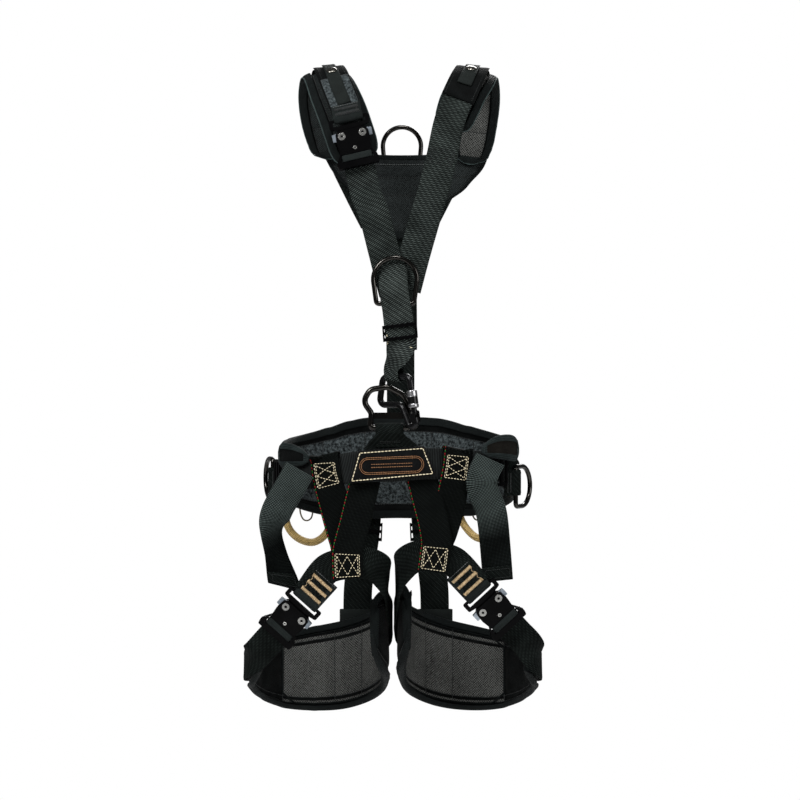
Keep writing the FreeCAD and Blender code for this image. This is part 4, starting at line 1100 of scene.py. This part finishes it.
def panel_outline(pad, side):
    """A path round the mesh panel of a pad, with its corners cut."""
    low, high = pad.across_limits()
    first, last = pad.panel
    cut = 3
    places = [(row, low) for row in range(first + cut, last - cut + 1)]
    places += [(last - cut + step, low + step) for step in range(1, cut)]
    places += [(last, column) for column in range(low + cut, high - cut + 1)]
    places += [(last - step, high - cut + step) for step in range(1, cut)]
    places += [(row, high) for row in range(last - cut, first + cut - 1, -1)]
    places += [(first + cut - step, high - step) for step in range(1, cut)]
    places += [(first, column) for column in range(high - cut, low + cut - 1, -1)]
    return [pad.seam_point(row, column, side, 0.5)[0] for row, column in places]


# ---- straps ---------------------------------------------------------------------------------
def part_of(ribbon, start, end, lift, width, steps=22):
    """Stations parallel to a stretch of a ribbon."""
    stations = []
    for step in range(steps + 1):
        s = start + (end - start) * step / steps
        centre = ribbon.place(0, s, lift)
        side = ribbon.place(1, s, lift) - centre
        stations.append((*centre, *side, width))
    return stations


def height_on(ribbon, z, search_from_end=True):
    """How far along the ribbon its middle crosses a height."""
    order = range(1, len(ribbon.centres))
    for index in reversed(order) if search_from_end else order:
        low, high = sorted((ribbon.centres[index - 1].z, ribbon.centres[index].z))
        if low <= z <= high:
            return ribbon.lengths[index]
    return ribbon.length / 2


def make_shoulders(copper, black):
    """The straps over the shoulders and what lies on them, and the right chest strap."""
    right = Ribbon(over_shoulder(STRAP_RIGHT, LEAN_RIGHT))
    left = Ribbon(over_shoulder(STRAP_LEFT, LEAN_LEFT))
    chest = Ribbon(with_across(CHEST_RIGHT, LEAN_RIGHT))
    for name, ribbon, look, node in (
            ("shoulder_webbing_right", right, "webbing", "shoulder_strap_right"),
            ("shoulder_webbing_left", left, "chest_webbing", "shoulder_strap_left"),
            ("chest_webbing_right", chest, "chest_webbing", "chest_strap_right")):
        strap(name, ribbon, look, stands_for=(node,))
    peak_right, peak_left = height_on(right, 598), height_on(left, 598)
    cover = Ribbon(part_of(right, peak_right, right.length - 2, 3.0, 46), 1)
    patch = Ribbon(part_of(right, height_on(right, 576), height_on(right, 526), 4.3, 41), 1)
    sleeve = Ribbon(part_of(left, peak_left, height_on(left, 544), 3.0, 50), 1)
    for name, ribbon, look, thickness, ripple, nodes in (
            ("hook_loop_cover", cover, "pad_cloth", 2.0, 0.5, ("shoulder_covers",)),
            ("hook_loop_patch", patch, "pile", 1.4, 0.3, ()),
            ("strap_sleeve", sleeve, "pad_cloth", 2.2, 0.5, ())):
        strap(name, ribbon, look, thickness, ripple, stands_for=nodes)
    for side, ribbon, start, low, width, nodes in (
            ("right", right, peak_right, 534, 20, ("keeper_loops",)),
            ("left", left, peak_left, 566, 22, ())):
        keeper = Ribbon(part_of(ribbon, start + 2, height_on(ribbon, low), 6.2, width), 1)
        strap("shoulder_keeper_" + side, keeper, "elastic", 2.0, 0.4, stands_for=nodes)
    for ribbon, edge in ((cover, 18.0), (sleeve, 20.5)):
        for u in (-edge, edge):
            black.on_ribbon(ribbon, [(u, 3), (u, ribbon.length - 3)], 1.2)
    dots = height_on(right, 566) - peak_right
    for u in (-13.5, 13.5):
        copper.on_ribbon(cover, [(u - 1.5, dots), (u + 1.5, dots)], 1.5)
    snap_stud("right", right)
    snap_stud("left", left)
    for strip, top, bottom in ((left, 470, 452), (chest, 462, 446)):
        middle = (height_on(strip, top) + height_on(strip, bottom)) / 2
        black.crossed_box(strip, (0, middle), 17, 11, 1.5, False)


STUD_HEIGHTS = {"right": 585.0, "left": 590.0}         # of the strap under each stud
KEEPER_TOP = 6.8


def snap_stud(side, strip):
    """The domed cap of a snap, on top of the keeper of a shoulder strap."""
    along = height_on(strip, STUD_HEIGHTS[side])
    outward = strip.normal(along)
    base = strip.place(0.0, along, KEEPER_TOP)
    profile = ((0.0, 8.0), (0.8, 8.3), (1.5, 7.9), (2.2, 6.6), (2.9, 4.4), (3.2, 2.2), (3.3, 0.5))
    path = [base + outward * height for height, _ in profile]
    sweep("snap_cap_" + side, path, lambda s: next(r for h, r in profile if h > s - 0.001),
          "stud_metal", 28, ("snap_studs",))


def make_back(beige, black):
    """The dorsal ring's tab, the back strap with its tail and the rear risers."""
    radius = turn_radius(RING_BAR)
    x, y, _ = DORSAL_BAR
    inner = [(x, y - radius, height, *LEVEL, WEB) for height in (405, 440)]
    outer = [(x, y + radius - lean, height, *LEVEL, WEB) for height, lean in ((440, 0), (414, 2))]
    turn = half_turn(DORSAL_BAR, radius, LEVEL, (0, 1, 0), 1, WEB)
    tab = Ribbon(inner + turn + outer, 4)
    strap("dorsal_tab_webbing", tab, "webbing", stands_for=("dorsal_tab",))
    for gap in (8, 15):
        beige.bartack(tab, (-17, tab.length - gap), (17, tab.length - gap), 3.2, 1.5)
    spine = Ribbon(with_across(BACK_ROUTE, LEVEL, 43))
    strap("back_webbing", spine, "webbing", stands_for=("back_strap",))
    strap("back_webbing_tail", Ribbon(with_across(BACK_TAIL, LEVEL, 41)), "webbing")
    black.crossed_box(spine, (0, height_on(spine, 20)), 16, 20, -1.5)
    black.crossed_box(spine, (0, height_on(spine, 382, False)), 16, 14, -1.5)
    for sign, side in ((-1, "right"), (1, "left")):
        route = [(sign * px, py, pz) for px, py, pz in REAR_ROUTE]
        riser = Ribbon(with_across(route, LEVEL, 44))
        strap("rear_riser_" + side, riser, "webbing",
              stands_for=("rear_risers",) if sign > 0 else ())
        black.crossed_box(riser, (0, 20), 16, 14, -1.5)
        keeper_loop("rear_keeper_" + side, sign * 60.5)


KEEPER_OUTLINE = ((-25, 104.2), (0, 103.8), (25, 104.2), (26, 108.5), (25, 112.8), (0, 113.2),
                  (-25, 112.8), (-26, 108.5))
KEEPER_BOTTOM, KEEPER_HEIGHT, KEEPER_RINGS = -243, 21, 9


def keeper_loop(name, x):
    """An elastic band round a rear riser."""
    points, coordinates = [], []
    for step in range(KEEPER_RINGS):
        z = KEEPER_BOTTOM + KEEPER_HEIGHT * step / (KEEPER_RINGS - 1)
        swell = 0.3 * math.sin(step * 1.9)
        for index, (dx, y) in enumerate(KEEPER_OUTLINE):
            points.append(Vector((x + dx, y + swell * 0.3, z)))
            coordinates.append((index * 14.0, z))
    band = tube_faces(KEEPER_RINGS, len(KEEPER_OUTLINE))[:-2]
    made = make_mesh(name, points, band, coordinates, ("elastic",))
    thicken(made, 1.6)
    piece(subdivide(made))


def make_waist(black):
    """The belt, its hanging tails with folded ends, and the side rings' tabs."""
    around = Ribbon(dense_waist(BELT_ROWS, 0.0), 2, False)
    strap("waist_belt_webbing", around, "webbing", stands_for=("waist_belt",))
    strap("waist_front_webbing", Ribbon(with_across(FRONT_ROUTE, (0, 0, 1))), "belt_webbing")
    tails = (("right", Ribbon(TAIL_RIGHT), TAIL_SLANT, ("waist_tails",)),
             ("left", Ribbon(TAIL_LEFT), 0.0, ()))
    for side, tail, slant, nodes in tails:
        tail.slant_end(slant)
        strap("waist_tail_" + side, tail, "tail_webbing", 2.3, 0.8, stands_for=nodes)
    for side, tail, slant, _ in tails:
        tip = Ribbon(part_of(tail, tail.length - 22, tail.length - 0.5, 2.6, 44, 8), 1)
        tip.slant_end(slant)
        strap("tail_fold_" + side, tip, "webbing", 2.2, 0.3)
        black.on_ribbon(tip, [(-18, 4), (18, 4), (18, 17), (-18, 17), (-18, 4)], 1.3)
    for degrees, z, width in SIDE_TABS:
        tab = side_tab(degrees, z, width)
        name = "side_tab_" + ("right" if degrees < 0 else "left")
        strap(name, tab, "webbing", stands_for=("side_ring_tabs",))
        for s in (5.0, 11.0, tab.length - 11.0, tab.length - 5.0):
            black.bartack(tab, (-14, s), (14, s), 3.0, -1.5)


def side_tab(degrees, z, width):
    """Webbing off the belt, over the ring's bar and back to the belt."""
    clear = SIDE_BAR_OUT + RING_BAR + BAR_PLAY + WEB_THICKNESS / 2 + 0.6
    half = ((0, clear), (1.2, clear - 0.2), (2.8, 10.2), (4.7, 5.8), (6.7, 3.6), (9.5, 3.2))
    rows = [(-turn, offset) for turn, offset in half[:0:-1]] + list(half)
    stations = []
    for turn, offset in rows:
        x, y = waist_point(degrees + turn, offset)
        stations.append((x, y, z, 0, 0, 1, width))
    return Ribbon(stations, 3)


def folded_top(stations):
    """Adds the turn that carries a riser over the belt's top edge to behind it."""
    first = Vector(stations[0][:3])
    across = Vector(stations[0][3:6]).normalized()
    upward = first - Vector(stations[1][:3])
    upward = (upward - across * upward.dot(across)).normalized()
    inward = across.cross(upward)
    inward = inward if inward.y > 0 else -inward
    extra = []
    for step in range(7):
        angle = math.pi * step / 7
        reach = inward * (1 + math.cos(angle)) + upward * math.sin(angle)
        extra.append(tuple(first + reach * FOLD_DEPTH) + stations[0][3:])
    return extra + list(stations)


def make_risers(beige):
    """The straps from the belt to the leg buckles, each with a box of stitches at this height."""
    for name, height in (("right_outer", -4), ("right_inner", -135), ("left_outer", 6),
                         ("left_inner", -125)):
        side, layer = name.split("_")
        outer = layer == "outer"
        riser = Ribbon(folded_top(RISERS[name]) if outer else RISERS[name])
        strap("front_riser_" + name, riser, "riser_webbing", stands_for=("front_risers_" + side,))
        size = (16.5, 16.5) if outer else (17.5, 16.0)
        beige.crossed_box(riser, (0, height_on(riser, height)), *size, 1.5, outer)


def leg_strap_ribbon(front, rows, name):
    """One strap: from the tongue over the front, round outside the pad, to under the buckle."""
    stations = list(front)
    reach = LEG_PAD_OUT + WEB_THICKNESS / 2 + LEG_STRAP_GAP
    centre = [sum(row[axis] for row in rows) / len(rows) for axis in (0, 1)]
    for index, height in enumerate(STRAP_HEIGHTS):
        if height is None:
            continue
        x, y = rows[index][:2]
        along = Vector((rows[index + 1][0] - rows[index - 1][0],
                        rows[index + 1][1] - rows[index - 1][1], 0))
        outward = along.cross(Vector((0, 0, 1))).normalized()
        if outward.dot(Vector((x - centre[0], y - centre[1], 0))) < 0:
            outward = -outward
        lean = (0.0, 0.4, 0.9) if index == 1 else (0.0, 0.0, 1.0)
        stations.append((x + outward.x * reach, y + outward.y * reach, height, *lean))
    place = buckle_place(name)
    across = place.to_3x3() @ Vector((1, 0, 0))
    across = across if across.z > 0 else -across
    for along, drop in ((110, 2.2), (84, 0.6), (55, 0), (30, 0)):
        stations.append((*(place @ Vector((0, along, -UNDER_BUCKLE - drop))), *across))
    return Ribbon(stations)


def make_legs(tan, black):
    """Both leg straps and the loops that hold the three tongues."""
    for side, front, rows in (("right", STRAP_TO_RIGHT_PAD, LEG_PAD_RIGHT),
                              ("left", STRAP_TO_LEFT_PAD, LEG_PAD_LEFT)):
        ribbon = leg_strap_ribbon(front, rows, "leg_" + side)
        strap("leg_webbing_" + side, ribbon, "webbing", stands_for=("leg_strap_" + side,))
        tongue_loop("leg_" + side, tan, 54.0, (9.0, 21.5, 35.0))
    tongue_loop("chest", black, 26.0, (6.0, 13.0))


def tongue_loop(name, threads, reach, rows):
    """Doubled webbing that holds the tongue's bar, closed by rows of bartacks."""
    place = buckle_place(name)
    outline = [(-reach, 5.4), (-reach * 0.6, 5.6)] + TONGUE_BEND
    loop = Ribbon(in_buckle(place, outline, 43), 4)
    strap(name + "_tongue_loop", loop, "satin_band", 2.2, 0.2)
    lift = loop_side(loop, place) * 1.4
    near = 1 if name == "leg_right" else -1
    for s in rows:
        threads.bartack(loop, (-17.5, s), (17.5, s), 5.4, lift)
    for first, last in zip(rows, rows[1:]):
        corners = [(near * 17, first + 2), (near * 14, (first + last) / 2), (near * 17, last - 2)]
        threads.on_ribbon(loop, corners, lift)
    # painted highlight: a grey thread line along the loop's top edge, standing in for the light
    # caught on that edge
    edge = Thread(name + "_loop_edge_highlight", "grey_thread", 0.55)
    edge.on_ribbon(loop, [(-19, 1.5), (19, 1.5)], lift)
    edge.finish()


def loop_side(ribbon, place):
    """+1 when the ribbon's face already looks away from the wearer at its start."""
    outward = place.to_3x3() @ Vector((0, 0, 1))
    return 1 if ribbon.normal(2.0).dot(outward) > 0 else -1


def make_front(beige, copper, black):
    """The sternal strap, down over the carabiner's top and back up, the ventral tab, the label."""
    radius = turn_radius(CARABINER_BAR)
    x, y, z = carabiner_point(*CARABINER_TOP)
    side = Vector((math.sin(CARABINER_TURN), math.cos(CARABINER_TURN), 0))
    shift = side * radius
    tilt, askew, turned = (0.98, 0.0, 0.14), (0.9, -0.4, 0), (side.y, -side.x, 0.0)
    down = [(-4, -114, 300, *LEVEL, 40), (-4, -114, 278, *LEVEL, 42), (-3, -121, 261, *LEVEL, 42),
            (-1, -128, 246, *LEVEL, 42), (1.5, -129.5, 232, *tilt, 42),
            (6, -129.5, 200, *tilt, 44), (8, -129.5, 184, *tilt, 44), (2, -132, 164, *askew, 38),
            (x - shift.x, y - shift.y, 148, *turned, 29)]
    bend = half_turn((x, y, z), radius, turned, side, -1, 26)
    up = [(x + shift.x, y + shift.y, 150, *turned, 28), (3, -124, 166, *askew, 34),
          (7, -125, 180, *LEVEL, 38)]
    sternal = Ribbon(down + bend + up, 4)
    strap("sternal_webbing", sternal, "sternal_webbing", stands_for=("sternal_strap",))
    edge = height_on(sternal, 206, False)
    beige.on_ribbon(sternal, [(-19.5, edge), (-19.5, edge + 24)], 1.5)
    beige.on_ribbon(sternal, [(12, edge + 20), (18, edge + 20)], 1.5)
    ventral_webbing(black)
    label(copper)


def ventral_webbing(black):
    """The tab that spreads from the ventral ring's bar down to the belt."""
    radius = turn_radius(VENTRAL_RING_BAR)
    x, y, _ = VENTRAL_BAR
    front = [(x + 2, -123.9, 26, *LEVEL, 88), (x + 1, -123.9, 38, *LEVEL, 70),
             (x, y - radius + 1, 53, *LEVEL, 41)]
    back = [(x, y + radius, 50, *LEVEL, 41), (x, -124, 33, *LEVEL, 41)]
    turn = half_turn(VENTRAL_BAR, radius, LEVEL, (0, 1, 0), 1, 41)
    tab = Ribbon(front + turn + back, 4)
    strap("ventral_tab_webbing", tab, "webbing", stands_for=("ventral_tab",))
    side = 1 if tab.normal(4.0).y < 0 else -1
    for s in (16, 19):
        black.on_ribbon(tab, [(-15, s), (15, s)], 1.5 * side)


# ---- label patch ----------------------------------------------------------------------------
LABEL_COLUMNS, LABEL_ROWS = 24, 12
LABEL_THICKNESS = 2.6
AHEAD = Vector((0, -1, 0))


def label_point(a, b, lift=0.0):
    """A place on the patch, a and b from 0 to 1 across and down."""
    corners = [Vector((x, LABEL_FRONT - lift, z)) for x, z in LABEL_CORNERS]
    top = corners[0].lerp(corners[1], a)
    bottom = corners[3].lerp(corners[2], a)
    point = top.lerp(bottom, b)
    crown = 1.2 * math.sin(math.pi * a) * math.sin(math.pi * b)
    return point + Vector((0, -crown, 0))


def label(copper):
    """The patch over the belt, with a stitched border and a plain stitched capsule."""
    label_panel()
    label_border()
    label_capsule(copper)


def label_panel():
    columns, rows = LABEL_COLUMNS, LABEL_ROWS
    points, coordinates, faces = [], [], []
    for depth in (0.0, -LABEL_THICKNESS):
        for row in range(rows + 1):
            for column in range(columns + 1):
                soften = 0.7 if depth == 0 and (row in (0, rows) or column in (0, columns)) else 0
                points.append(label_point(column / columns, row / rows, depth - soften))
                coordinates.append((column / columns * 110, row / rows * 48))
    stride = columns + 1
    layer = stride * (rows + 1)
    for row in range(rows):
        for column in range(columns):
            first = row * stride + column
            quad = (first, first + stride, first + stride + 1, first + 1)
            faces.append(quad)
            faces.append(tuple(layer + corner for corner in reversed(quad)))
    order = [row * stride + column for row, column in rim_loop(rows, columns)]
    for first, last in zip(order, order[1:] + order[:1]):
        faces.append((first, last, last + layer, first + layer))
    patch = make_mesh("label_panel", points, faces, coordinates, ("patch",))
    piece(subdivide(patch), ROOT, ("label_patch",))


def label_border():
    pitch, inset, high = 5.0, 0.035, 0.08
    corners = [(inset, high), (1 - inset, high), (1 - inset, 1 - high), (inset, 1 - high)]
    border = Thread("label_border", "beige_thread", 0.85)
    for (a0, b0), (a1, b1) in zip(corners, corners[1:] + corners[:1]):
        count = round((label_point(a1, b1) - label_point(a0, b0)).length / pitch)
        path = [label_point(a0 + (a1 - a0) * t / count, b0 + (b1 - b0) * t / count, 0.6)
                for t in range(count + 1)]
        border.line(path, AHEAD, pitch, 0.9)
    border.finish()


def label_capsule(threads):
    """Two long rounded outlines, one in the other, and two lines, all on the patch's slope."""
    centre, slope = Vector((-6, LABEL_FRONT - 1.7, 8)), 0.035
    for radius, half in ((12.0, 46.0), (9.6, 43.6)):
        path = []
        for step in range(49):
            angle = TAU * step / 48
            reach = (half - radius) * (1 if math.cos(angle) > 0 else -1)
            x, z = reach + radius * math.cos(angle), radius * math.sin(angle)
            path.append(centre + Vector((x, 0, z + slope * x)))
        threads.line(path, AHEAD, 2.6, 0.35)
    for z in (-2.2, 2.2):
        path = [centre + Vector((x, 0, z + slope * x)) for x in range(-30, 31, 10)]
        threads.line(path, AHEAD, 3.2, 0.6)


# ---- hardware -------------------------------------------------------------------------------
# slider: half the width that stays, and the share of what stands out beyond it
SLIM_POSTS = {"sternal_slider": (22.2, 0.6), "back_slider": (22.5, 0.6),
              "rear_buckle_right": (22.5, 0.5), "rear_buckle_left": (22.5, 0.5)}


def bevelled(node, look, body, width):
    """A CAD piece with its edges rounded over, in place of the plain one."""
    made = bpy.data.objects.new(node + "_shell", NODES[node].data.copy())
    if node in SLIM_POSTS:
        draw_in(made.data, *SLIM_POSTS[node])
    bpy.context.scene.collection.objects.link(made)
    shape = bmesh.new()
    shape.from_mesh(made.data)
    bmesh.ops.remove_doubles(shape, verts=shape.verts, dist=0.00001)
    bmesh.ops.dissolve_limit(shape, angle_limit=math.radians(1.0), verts=shape.verts,
                             edges=shape.edges)
    sharp = [edge for edge in shape.edges
             if edge.is_manifold and edge.calc_face_angle(0) > math.radians(35)]
    bmesh.ops.bevel(shape, geom=sharp, offset=width * MM, segments=2, profile=0.6,
                    affect="EDGES", clamp_overlap=True)
    shape.to_mesh(made.data)
    shape.free()
    made.data.materials.clear()
    made.data.materials.append(LOOKS[look])
    for polygon in made.data.polygons:
        polygon.use_smooth = True
    even = made.modifiers.new("even", "WEIGHTED_NORMAL")
    even.keep_sharp = False
    return piece(made, body, (node,))


def draw_in(mesh, keep, factor):
    """Brings what stands out beyond keep mm from the middle of a slider closer to it."""
    low = min(vertex.co.x for vertex in mesh.vertices)
    high = max(vertex.co.x for vertex in mesh.vertices)
    middle = (low + high) / 2
    for vertex in mesh.vertices:
        out = vertex.co.x - middle
        extra = abs(out) - keep * MM
        if extra > 0:
            vertex.co.x -= math.copysign(extra * (1 - factor), out)


def paint(node, look):
    """Gives a CAD piece that stays its material."""
    mesh = NODES[node].data
    if not mesh.materials:
        mesh.materials.append(LOOKS[look])
    for index in range(len(mesh.materials)):
        mesh.materials[index] = LOOKS[look]


def make_hardware():
    """The CAD model's own rings and carabiner, and its sliders and buckles with round edges."""
    for name in ("dorsal_ring", "sternal_ring", "ventral_ring", "side_ring_right",
                 "side_ring_left"):
        paint(name, "gunmetal")
    paint("carabiner_body", "anodised")
    paint("carabiner_gate", "anodised")
    paint("gate_pin", "bright")
    for node in SLIM_POSTS:
        bevelled(node, "gloss_black", node, 0.5)
    bevelled("waist_adjusters", "gloss_black", ROOT, 0.5)
    for name in BUCKLES:
        housing = name + "_housing"
        bevelled(name + "_tongue", "gloss_black", ROOT, 0.7)
        bevelled(housing, "gloss_black", housing, 0.45)
        bevelled(name + "_rivets", "bright", housing, 0.25)
        for lever in ("_lever_a", "_lever_b"):
            bevelled(name + lever, "blue_steel", name + lever, 0.6)
        buckle_wrap(name)
        rivet_hollow_shades(name)
    sleeve()


def rivet_hollow_shades(name):
    """A black disc in the hollow of each rivet of a buckle, as painted shade in the hollow."""
    place = buckle_place(name)
    for index, (x, y, radius) in enumerate(RIVETS):
        # painted shade: a gloss black disc fills the rivet's hollow
        ends = [place @ Vector((x, y, out)) for out in (5.6, 5.85, 6.1)]
        sweep(f"{name}_rivet_hollow_shade_{index + 1}", ends, radius, "gloss_black", 16,
              (), name + "_housing")


def buckle_wrap(name):
    """Webbing that turns round the housing's bar, seen through its window."""
    band = Ribbon(in_buckle(buckle_place(name), WRAP_BEND, 43.5), 5)
    strap(name + "_wrap_band", band, "satin_band", 2.1, 0.15, name + "_housing",
          (name + "_wrap",))


def sleeve():
    """The screw sleeve of the gate: knurled in the middle, smooth at both ends."""
    foot, nose = Vector(carabiner_point(*GATE_FOOT)), Vector(carabiner_point(*GATE_NOSE))
    along = (nose - foot).normalized()
    start = foot + along * SLEEVE_START
    side = along.cross(Vector((0, 0, 1))).normalized()
    other = along.cross(side)
    around, rings = 72, 50
    angles = [TAU * step / around for step in range(around)]
    points = []
    for inner in (False, True):
        for ring in range(rings + 1):
            t = SLEEVE_LENGTH * ring / rings
            for angle in angles:
                radius = SLEEVE_BORE if inner else sleeve_radius(t, angle)
                offset = side * math.cos(angle) + other * math.sin(angle)
                points.append(start + along * t + offset * radius)
    layer = (rings + 1) * around
    faces, slots = [], []
    for ring in range(rings):
        dark = KNURL[0] < (ring + 0.5) / rings < KNURL[1]
        for step in range(around):
            a, b = ring * around + step, ring * around + (step + 1) % around
            quad = (a, b, b + around, a + around)
            faces += [quad, tuple(layer + corner for corner in reversed(quad))]
            slots += [int(dark), 0]
    for end in (0, rings * around):
        for step in range(around):
            a, b = end + step, end + (step + 1) % around
            quad = (a, b, layer + b, layer + a)
            faces.append(quad if end else tuple(reversed(quad)))
            slots.append(0)
    looks = ("sleeve_silver", "anodised")
    piece(make_mesh("gate_sleeve_shell", points, faces, None, looks, slots),
          "sleeve", ("gate_sleeve",))


def sleeve_radius(t, angle):
    """Outer radius of the sleeve: rounded ends and a diamond knurl between two grooves."""
    share = t / SLEEVE_LENGTH
    end = min(t, SLEEVE_LENGTH - t)
    radius = SLEEVE_RADIUS - 0.9 * max(0.0, 1 - end / 1.4) ** 2
    if KNURL[0] < share < KNURL[1]:
        ridge, climb = KNURL_RIDGES * angle, t * 2.2
        return radius - 0.35 + 0.3 * abs(math.sin(ridge + climb) * math.sin(ridge - climb))
    if min(abs(share - 0.2), abs(share - 0.64)) < 0.02:
        return radius - 0.6
    return radius


def sweep(name, path, radius, look, around, stands_for=(), body=ROOT):
    """A round tube along points; its radius may be a function of the length so far."""
    points, coordinates = [], []
    travelled = 0.0
    side = (path[1] - path[0]).normalized().orthogonal().normalized()
    for index, point in enumerate(path):
        ahead = path[min(index + 1, len(path) - 1)] - path[max(index - 1, 0)]
        along = ahead.normalized()
        side = (side - along * side.dot(along)).normalized()
        if index:
            travelled += (point - path[index - 1]).length
        size = radius(travelled) if callable(radius) else radius
        points += circle(point, side, along.cross(side), size, around)
        coordinates += [(TAU * size * step / around, travelled) for step in range(around)]
    made = make_mesh(name, points, tube_faces(len(path), around), coordinates, (look,))
    return piece(made, body, stands_for)


def ribbed(radius, pitch):
    """The radius of a tube with fine ribs, by the length along it."""
    return lambda s: radius + RIB * math.sin(TAU * s / pitch)


def make_loops():
    """Ribbed tool loops under the belt and the thin cord loops beside them."""
    for side, route in GEAR_ROUTES.items():
        path = [Vector(row) for row in smooth_path(route, 34)]
        sweep("gear_loop_" + side, path, ribbed(GEAR_RADIUS, GEAR_RIB_PITCH), "tan_tube", 18,
              ("gear_loops",))
        x, y = ACCESSORY_CENTRES[side]
        thin = [(x + dx, y + dy, z) for dx, dy, z in ACCESSORY_LOOP]
        path = [Vector(row) for row in smooth_path(thin, 12)]
        sweep("accessory_loop_" + side, path, ribbed(CORD_RADIUS, CORD_RIB_PITCH),
              "flecked_cord", 8, ("accessory_loops",))


# ---- floor, light and camera ----------------------------------------------------------------
FLOOR_DEPTH = 1050.0           # the belt of a standing wearer is about this high
FLOOR_HALF = 2800.0
ROOM_LIGHT = 0.12              # strength of the even light from all round
WHITE = (1.0, 1.0, 1.0, 1.0)
LENS, SENSOR = 96.0, 36.0
CAMERA_PLACE = (0.006, -3.2, 0.102)            # in metres
# name, place in metres, size in metres and power in watts
LIGHTS = (("key", (-1.6, -2.2, 2.0), 1.0, 80.0), ("fill", (2.2, -1.8, 0.9), 1.2, 28.0),
          ("back", (0.6, 2.4, 1.8), 1.4, 45.0), ("strip", (0.1, -1.6, 2.6), 0.6, 36.0))
AIM = Vector((0, 0, 0.1))


def stage():
    """A plain pale floor, four soft lights and the room's own light."""
    pale = Shader("pale_floor", Roughness=0.9, Emission_Color=WHITE, Emission_Strength=0.12)
    pale.colour(pale.ramp(pale.noise(3.0), (0.3, (0.86, 0.86, 0.86)), (0.7, (0.9, 0.9, 0.9))))
    corners = ((-1, -1), (1, -1), (1, 1), (-1, 1))
    points = [Vector((x * FLOOR_HALF, y * FLOOR_HALF, -FLOOR_DEPTH)) for x, y in corners]
    floor = make_mesh("floor", points, [(0, 1, 2, 3)])
    floor.data.materials.append(pale.material)
    room()
    for name, place, size, power in LIGHTS:
        data = bpy.data.lights.new(name, "AREA")
        data.size = size
        data.energy = power
        lamp = bpy.data.objects.new(name, data)
        lamp.location = place
        lamp.rotation_euler = (AIM - Vector(place)).to_track_quat("-Z", "Y").to_euler()
        bpy.context.scene.collection.objects.link(lamp)


def room():
    """A white backdrop that gives only soft light to the harness."""
    world = bpy.data.worlds.new("studio")
    world.use_nodes = True
    tree = world.node_tree
    even = tree.nodes["Background"]
    even.inputs[0].default_value = WHITE
    even.inputs[1].default_value = ROOM_LIGHT
    backdrop = tree.nodes.new("ShaderNodeBackground")
    backdrop.inputs[0].default_value = WHITE
    rays, mixed = tree.nodes.new("ShaderNodeLightPath"), tree.nodes.new("ShaderNodeMixShader")
    tree.links.new(rays.outputs["Is Camera Ray"], mixed.inputs[0])
    tree.links.new(even.outputs[0], mixed.inputs[1])
    tree.links.new(backdrop.outputs[0], mixed.inputs[2])
    tree.links.new(mixed.outputs[0], tree.nodes["World Output"].inputs[0])
    bpy.context.scene.world = world


def camera():
    """Where the photograph was taken from: level, straight in front of the chest."""
    data = bpy.data.cameras.new("camera")
    data.lens, data.sensor_width = LENS, SENSOR
    made = bpy.data.objects.new("camera", data)
    made.location = CAMERA_PLACE
    made.rotation_euler = (math.radians(90), 0, 0)
    bpy.context.scene.collection.objects.link(made)
    bpy.context.scene.camera = made
    bpy.context.scene.view_settings.view_transform = "Standard"


def build():
    camera()
    stage()
    beige = Thread("beige_stitching", "beige_thread", 0.58, 4.4, 1.5)
    tan = Thread("tan_bartacks", "tan_thread", 0.5)
    copper = Thread("copper_stitching", "copper_thread", 0.5)
    black = Thread("black_stitching", "black_thread", 0.42)
    make_pads()
    make_shoulders(copper, black)
    make_back(beige, black)
    make_waist(black)
    make_risers(beige)
    make_legs(tan, black)
    make_front(beige, copper, black)
    make_loops()
    make_hardware()
    for threads in (beige, tan, copper, black):
        threads.finish()


build()
